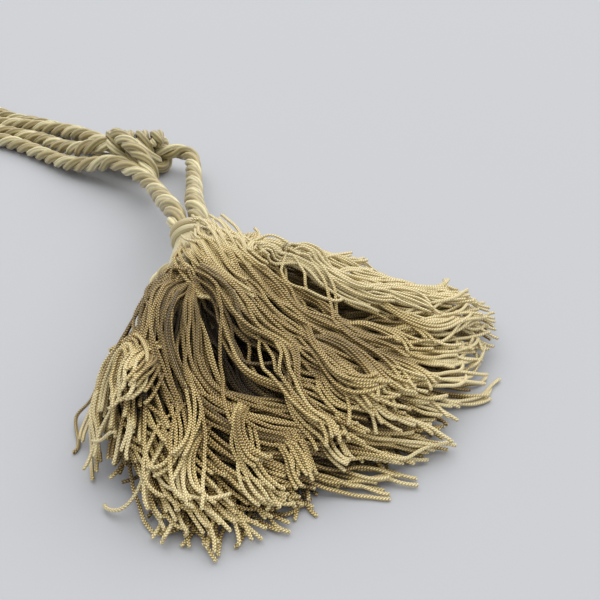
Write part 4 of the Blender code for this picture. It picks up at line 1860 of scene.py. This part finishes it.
# The tresses on top, lowest first, by points in millimetres.
TRESSES = (
    Tress(((-33, 56, 41), (-26, 48, 43), (-17, 42, 42), (-7, 40, 38), (6, 38, 32), (22, 36, 25),
           (42, 36, 16), (64, 35, 8), (85, 32, 3)), 15, (8, 13, 20), 0.64, sunk=3),
    Tress(((-28, 54, 39), (-19, 50, 39), (-8, 48, 36), (4, 47, 31), (18, 45, 24), (34, 45, 17),
           (54, 39, 8), (74, 36, 3)), 14, (8, 12, 18), 0.84, sunk=3),
    Tress(((-24, 56, 34), (-13, 57, 33), (-1, 61, 29), (11, 67, 23), (21, 73, 17), (29, 79, 12)),
          13, (7, 9, 14), 0.86, 15, sunk=3),
    Tress(((-12, 56, 33), (-1, 58, 30), (10, 64, 25), (20, 70, 20), (30, 77, 17)),
          7, (5, 6, 9), 0.92, 10, sunk=3),
    Tress(((-18, 56, 30), (-4, 57, 25), (12, 58, 18), (28, 59, 11), (42, 62, 4)),
          10, (7, 10, 18), 0.74, -10, sunk=3),
    Tress(((-32, 54, 38), (-29, 59, 34), (-22, 61, 24), (-12, 62, 12), (-4, 64, 4)),
          8, (8, 10, 14), 0.70, sunk=3),
    Tress(((-22, 26), (-4, 12), (12, 12), (29, 16), (50, 21), (72, 29), (84, 29)),
          14, (8, 14, 20), 0.46),
    Tress(((-24, 18), (-4, 5), (19, -3), (43, 1), (64, 4), (80, 12)),
          13, (6, 13, 20), 0.48),
    Tress(((-63, 2), (-60, -18), (-57, -34), (-53, -47), (-48, -57), (-41, -67)),
          11, (8, 11, 15), 0.56, 20),
    Tress(((-54, -18), (-52, -34), (-47, -44), (-38, -53), (-29, -62), (-22, -68)),
          12, (6, 12, 18), 0.55, -20),
    Tress(((-46, -28), (-41, -39), (-32, -45), (-20, -52), (-9, -56), (0, -57)),
          12, (6, 12, 15), 0.55, 10),
    Tress(((-34, -30), (-24, -37), (-10, -42), (6, -44), (21, -45), (37, -45)),
          12, (6, 12, 16), 0.56, 15),
    Tress(((-30, -22), (-14, -24), (2, -24), (19, -22), (37, -23), (50, -19)),
          12, (6, 12, 20), 0.54, -20),
    Tress(((-46, 21, 43), (-54, 20, 39), (-58.5, 13, 32), (-59.5, 3, 27), (-60.5, -10, 23),
           (-63, -24, 17), (-63, -38, 12), (-58, -52, 6)), 11, (4, 7, 15), 0.46, 35),
    Tress(((-46, 20, 42), (-50, 18, 38), (-52, 11, 31), (-54, 4, 26), (-58, -2, 22),
           (-62, -9, 18), (-65, -17, 14), (-65, -27, 10), (-61, -38, 7), (-54, -46, 4)),
          13, (4, 8, 9), 0.56, 25, stray=0.6),
    Tress(((-47, 21, 43), (-51, 24.5, 42), (-54, 26.5, 38.5), (-56.5, 26, 33), (-57.5, 20, 29.5),
           (-57.5, 9, 28), (-58.5, 1, 25), (-61, -7, 22), (-65, -16, 17), (-66, -27, 12),
           (-65, -39, 8)), 9, (4, 6, 9), 0.32, 40, 0.84),
    Tress(((-47, 20, 43.5), (-52, 22.5, 42.5), (-55, 21.5, 38.5), (-57, 16, 33), (-58, 8, 29),
           (-59, -3, 26), (-62, -13, 21), (-64, -24, 15), (-63, -37, 10), (-59, -51, 5)),
          8, (4, 6, 8), 0.28, 15, 0.88),
    Tress(((-46, 21), (-53.5, 19), (-57.5, 11), (-58.5, 1), (-57.5, -12), (-55, -26), (-51, -38),
           (-46, -50)), 12, (4, 10, 15), 0.34, 20, root_height=44),
    Tress(((-46, 19), (-52, 14), (-55, 4), (-56, -6), (-52, -18), (-47, -28), (-38, -37),
           (-27, -45), (-13, -52)), 12, (4, 10, 16), 0.36, -15, root_height=44),
    Tress(((-44, 18), (-49, 6), (-50, -8), (-45, -19), (-37, -29), (-26, -34), (-4, -36),
           (22, -36), (42, -40)), 13, (4, 10, 17), 0.40, 25, root_height=44),
    Tress(((-44, 18), (-44, 4), (-43, -10), (-39, -19), (-31, -26), (-18, -30), (0, -31),
           (20, -29), (36, -28), (53, -29)), 12, (4, 9, 15), 0.42, 20, root_height=44),
    Tress(((-52, 52, 41), (-50, 43, 43), (-49, 35, 47), (-47, 28, 49), (-44, 22, 46.5),
           (-39, 15, 42), (-33, 7, 37)), 8, (8, 8, 6), 0.66, stagger=8, sunk=0.5),
    Tress(((-49, 62, 43), (-46, 52, 47), (-42, 39, 49), (-37, 29, 47), (-30, 19, 42),
           (-22, 11, 36), (-11, 4, 28), (4, -4, 22), (24, -10, 17), (41, -15, 12), (54, -18, 7)),
          16, (8, 12, 20), 0.60, 10, stagger=24, sunk=1),
    Tress(((-44, 61, 45), (-40, 49, 48.5), (-35, 38, 48), (-28, 29, 44), (-20, 20, 39),
           (-10, 11, 32), (4, 4, 25), (24, 0, 20), (48, 1, 14), (74, 9, 6)),
           16, (9, 12, 16), 0.64, 15, stagger=24, sunk=1),
    Tress(((-39, 60, 43), (-34, 48, 46), (-28, 40, 45), (-20, 34, 41), (-11, 29, 37),
           (-4, 21, 32), (8, 14, 26), (26, 12, 20), (48, 16, 14), (74, 22, 8)),
          14, (9, 10, 20), 0.64, 15, stagger=22, sunk=1),
    Tress(((-51, 46, 42), (-47, 38, 46), (-42, 29, 48), (-36, 22, 45), (-28, 15, 40),
           (-20, 8, 34)), 9, (7, 9, 6), 0.76, 10, stagger=12, sunk=1),
    Tress(((-36, 41, 42), (-36.5, 42, 46), (-32.5, 42.5, 49.5), (-28.5, 42, 48), (-27, 40, 43.5),
           (-22, 35, 42), (-13, 29, 39)), 6, (6, 6, 7), 0.78, stray=0.4),
    Tress(((-20, 38, 38), (-21, 39, 43.5), (-17.5, 39.5, 47.5), (-12.5, 38.5, 46), (-10, 37, 41.5),
           (-3, 38, 38), (7, 35, 33), (19, 32, 28), (34, 30, 21)), 9, (9, 9, 9), 0.82,
          stray=0.4),
    Tress(((-9, 38, 42), (-6, 33, 38), (-3, 27, 34), (2, 23, 32), (9, 24, 31), (14, 28, 29)),
          2, (2, 3, 3), 0.78, stray=0.4),
    Tress(((-7, 42, 35), (-7, 44, 40), (-3, 44, 43), (2, 43, 41), (5, 40, 36), (11, 36, 32),
           (24, 34, 26), (42, 36, 18)), 7, (7, 7, 9), 0.84, stray=0.4),
    Tress(((-38, 42, 50), (-39, 47, 52), (-41, 51, 53)), 1, (1, 1, 1), 0.85, 10),
    Tress(((-41, 44, 50), (-44, 50, 51), (-49, 54, 51)), 1, (1, 1, 1), 0.85, 10),
    Tress(((-22, 42, 46), (-21, 47, 48), (-23, 51, 49)), 1, (1, 1, 1), 0.85, 30),
    Tress(((-45, 38, 49), (-49, 44, 48), (-52, 50, 46)), 2, (2, 4, 5), 0.85, 10),
    Tress(((-43, 19, 42), (-38, 13, 40), (-34, 6, 37), (-30, -1, 33), (-24, -8, 29),
           (-13, -14, 24), (2, -18, 20), (22, -20, 15), (44, -22, 10)),
          9, (4, 8, 15), 0.42, 15, stray=1.5),
    Tress(((-42, 20, 43), (-35, 15, 41), (-28, 8, 38), (-22, 1, 34), (-15, -5, 29),
           (-5, -10, 24), (12, -14, 20), (32, -16, 15), (52, -16, 9)),
          13, (5, 10, 16), 0.50, 15, stray=1.3),
    Tress(((-43, 20), (-35, 13), (-33, -3), (-31, -15), (-29, -26), (-26, -36), (-15, -52)),
          1, (1, 1, 1), 0.45, 10, root_height=44),
    Tress(((2, 38, 34), (8, 24, 28), (12, 12, 24), (19, 4, 21), (31, -6, 18), (40, -20, 13)),
          2, (4, 3, 5), 0.50, 10, stray=1.6),
    Tress(((-76, -27, 5), (-76, -21, 10), (-75, -17, 15), (-72.5, -13, 20), (-68, -11.5, 24),
           (-63.5, -13, 24), (-61, -18, 21), (-61, -23, 17), (-62, -31, 12)),
          12, (5, 8, 8), 0.62, 0, stray=0.2, tip_tone=0.9),
    Tress(((-57, 14, 27), (-61.5, 5, 26), (-66, -1, 24), (-70.5, -9, 21), (-74, -14, 17),
           (-76, -18, 12), (-77, -22, 7), (-76, -28, 4), (-73, -36, 3)),
          2, (1.5, 1.5, 2), 0.32, 0, stray=0.3, tip_tone=0.6),
    Tress(((-78, -15, 13), (-82, -14, 9), (-87, -13, 4), (-89, -15, 2), (-88, -20, 1),
           (-86, -26, 1), (-87, -30, 1), (-91, -32, 1)), 1, (1, 1, 1), 0.28, 0,
          tip_tone=0.40, stray=0.2),
    Tress(((-78, -13, 14), (-82, -18, 8), (-83, -24, 5), (-82, -32, 3)),
          3, (2, 3, 5), 0.84, 0, stray=0.5),
    Tress(((-78, -19, 11), (-79, -24, 6), (-77, -31, 3), (-75, -40, 2), (-73, -47, 1)),
          3, (2, 3, 4), 0.84, 0, stray=0.5),
    Tress(((-75, -39, 2), (-72, -40.5, 2), (-68, -41, 3), (-63, -41, 7)), 1, (1, 1, 1), 0.84,
          0, stray=0.2),
    Tress(((-55, -50, 8), (-58.5, -56, 3), (-63, -58.5, 2), (-68, -56.5, 1), (-70.5, -51, 1)),
          1, (1, 1, 1), 0.84, 0, stray=0.2),
    Tress(((-53, -50, 13), (-46, -57, 12), (-36, -60, 11), (-25, -57, 11)),
          1, (1, 1, 1), 0.88),
)

# The short threads that are folded back over the mould, up to the collar.
WISPS = (
    Tress(((-27, 26, 42), (-32, 36, 47), (-38, 46, 50), (-43.5, 56, 49), (-47.5, 64.5, 46.5)),
          9, (9, 11, 9), 0.80, 5, stray=0.7, stagger=12, sunk=3),
    Tress(((-34, 37, 48), (-36.5, 43, 49.5), (-40, 49, 50)),
          3, (3, 5, 6), 0.86, 5, stray=0.8, sunk=2),
)


def main() -> None:
    """Build the tieback piece by piece."""
    logging.basicConfig(level=logging.INFO, format="%(name)s: %(message)s")
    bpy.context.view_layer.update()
    deselect()
    Studio().build()
    Ropework().build()
    WoundHead().build()
    KnittedSkirt().build()


if __name__ == "__main__":
    main()
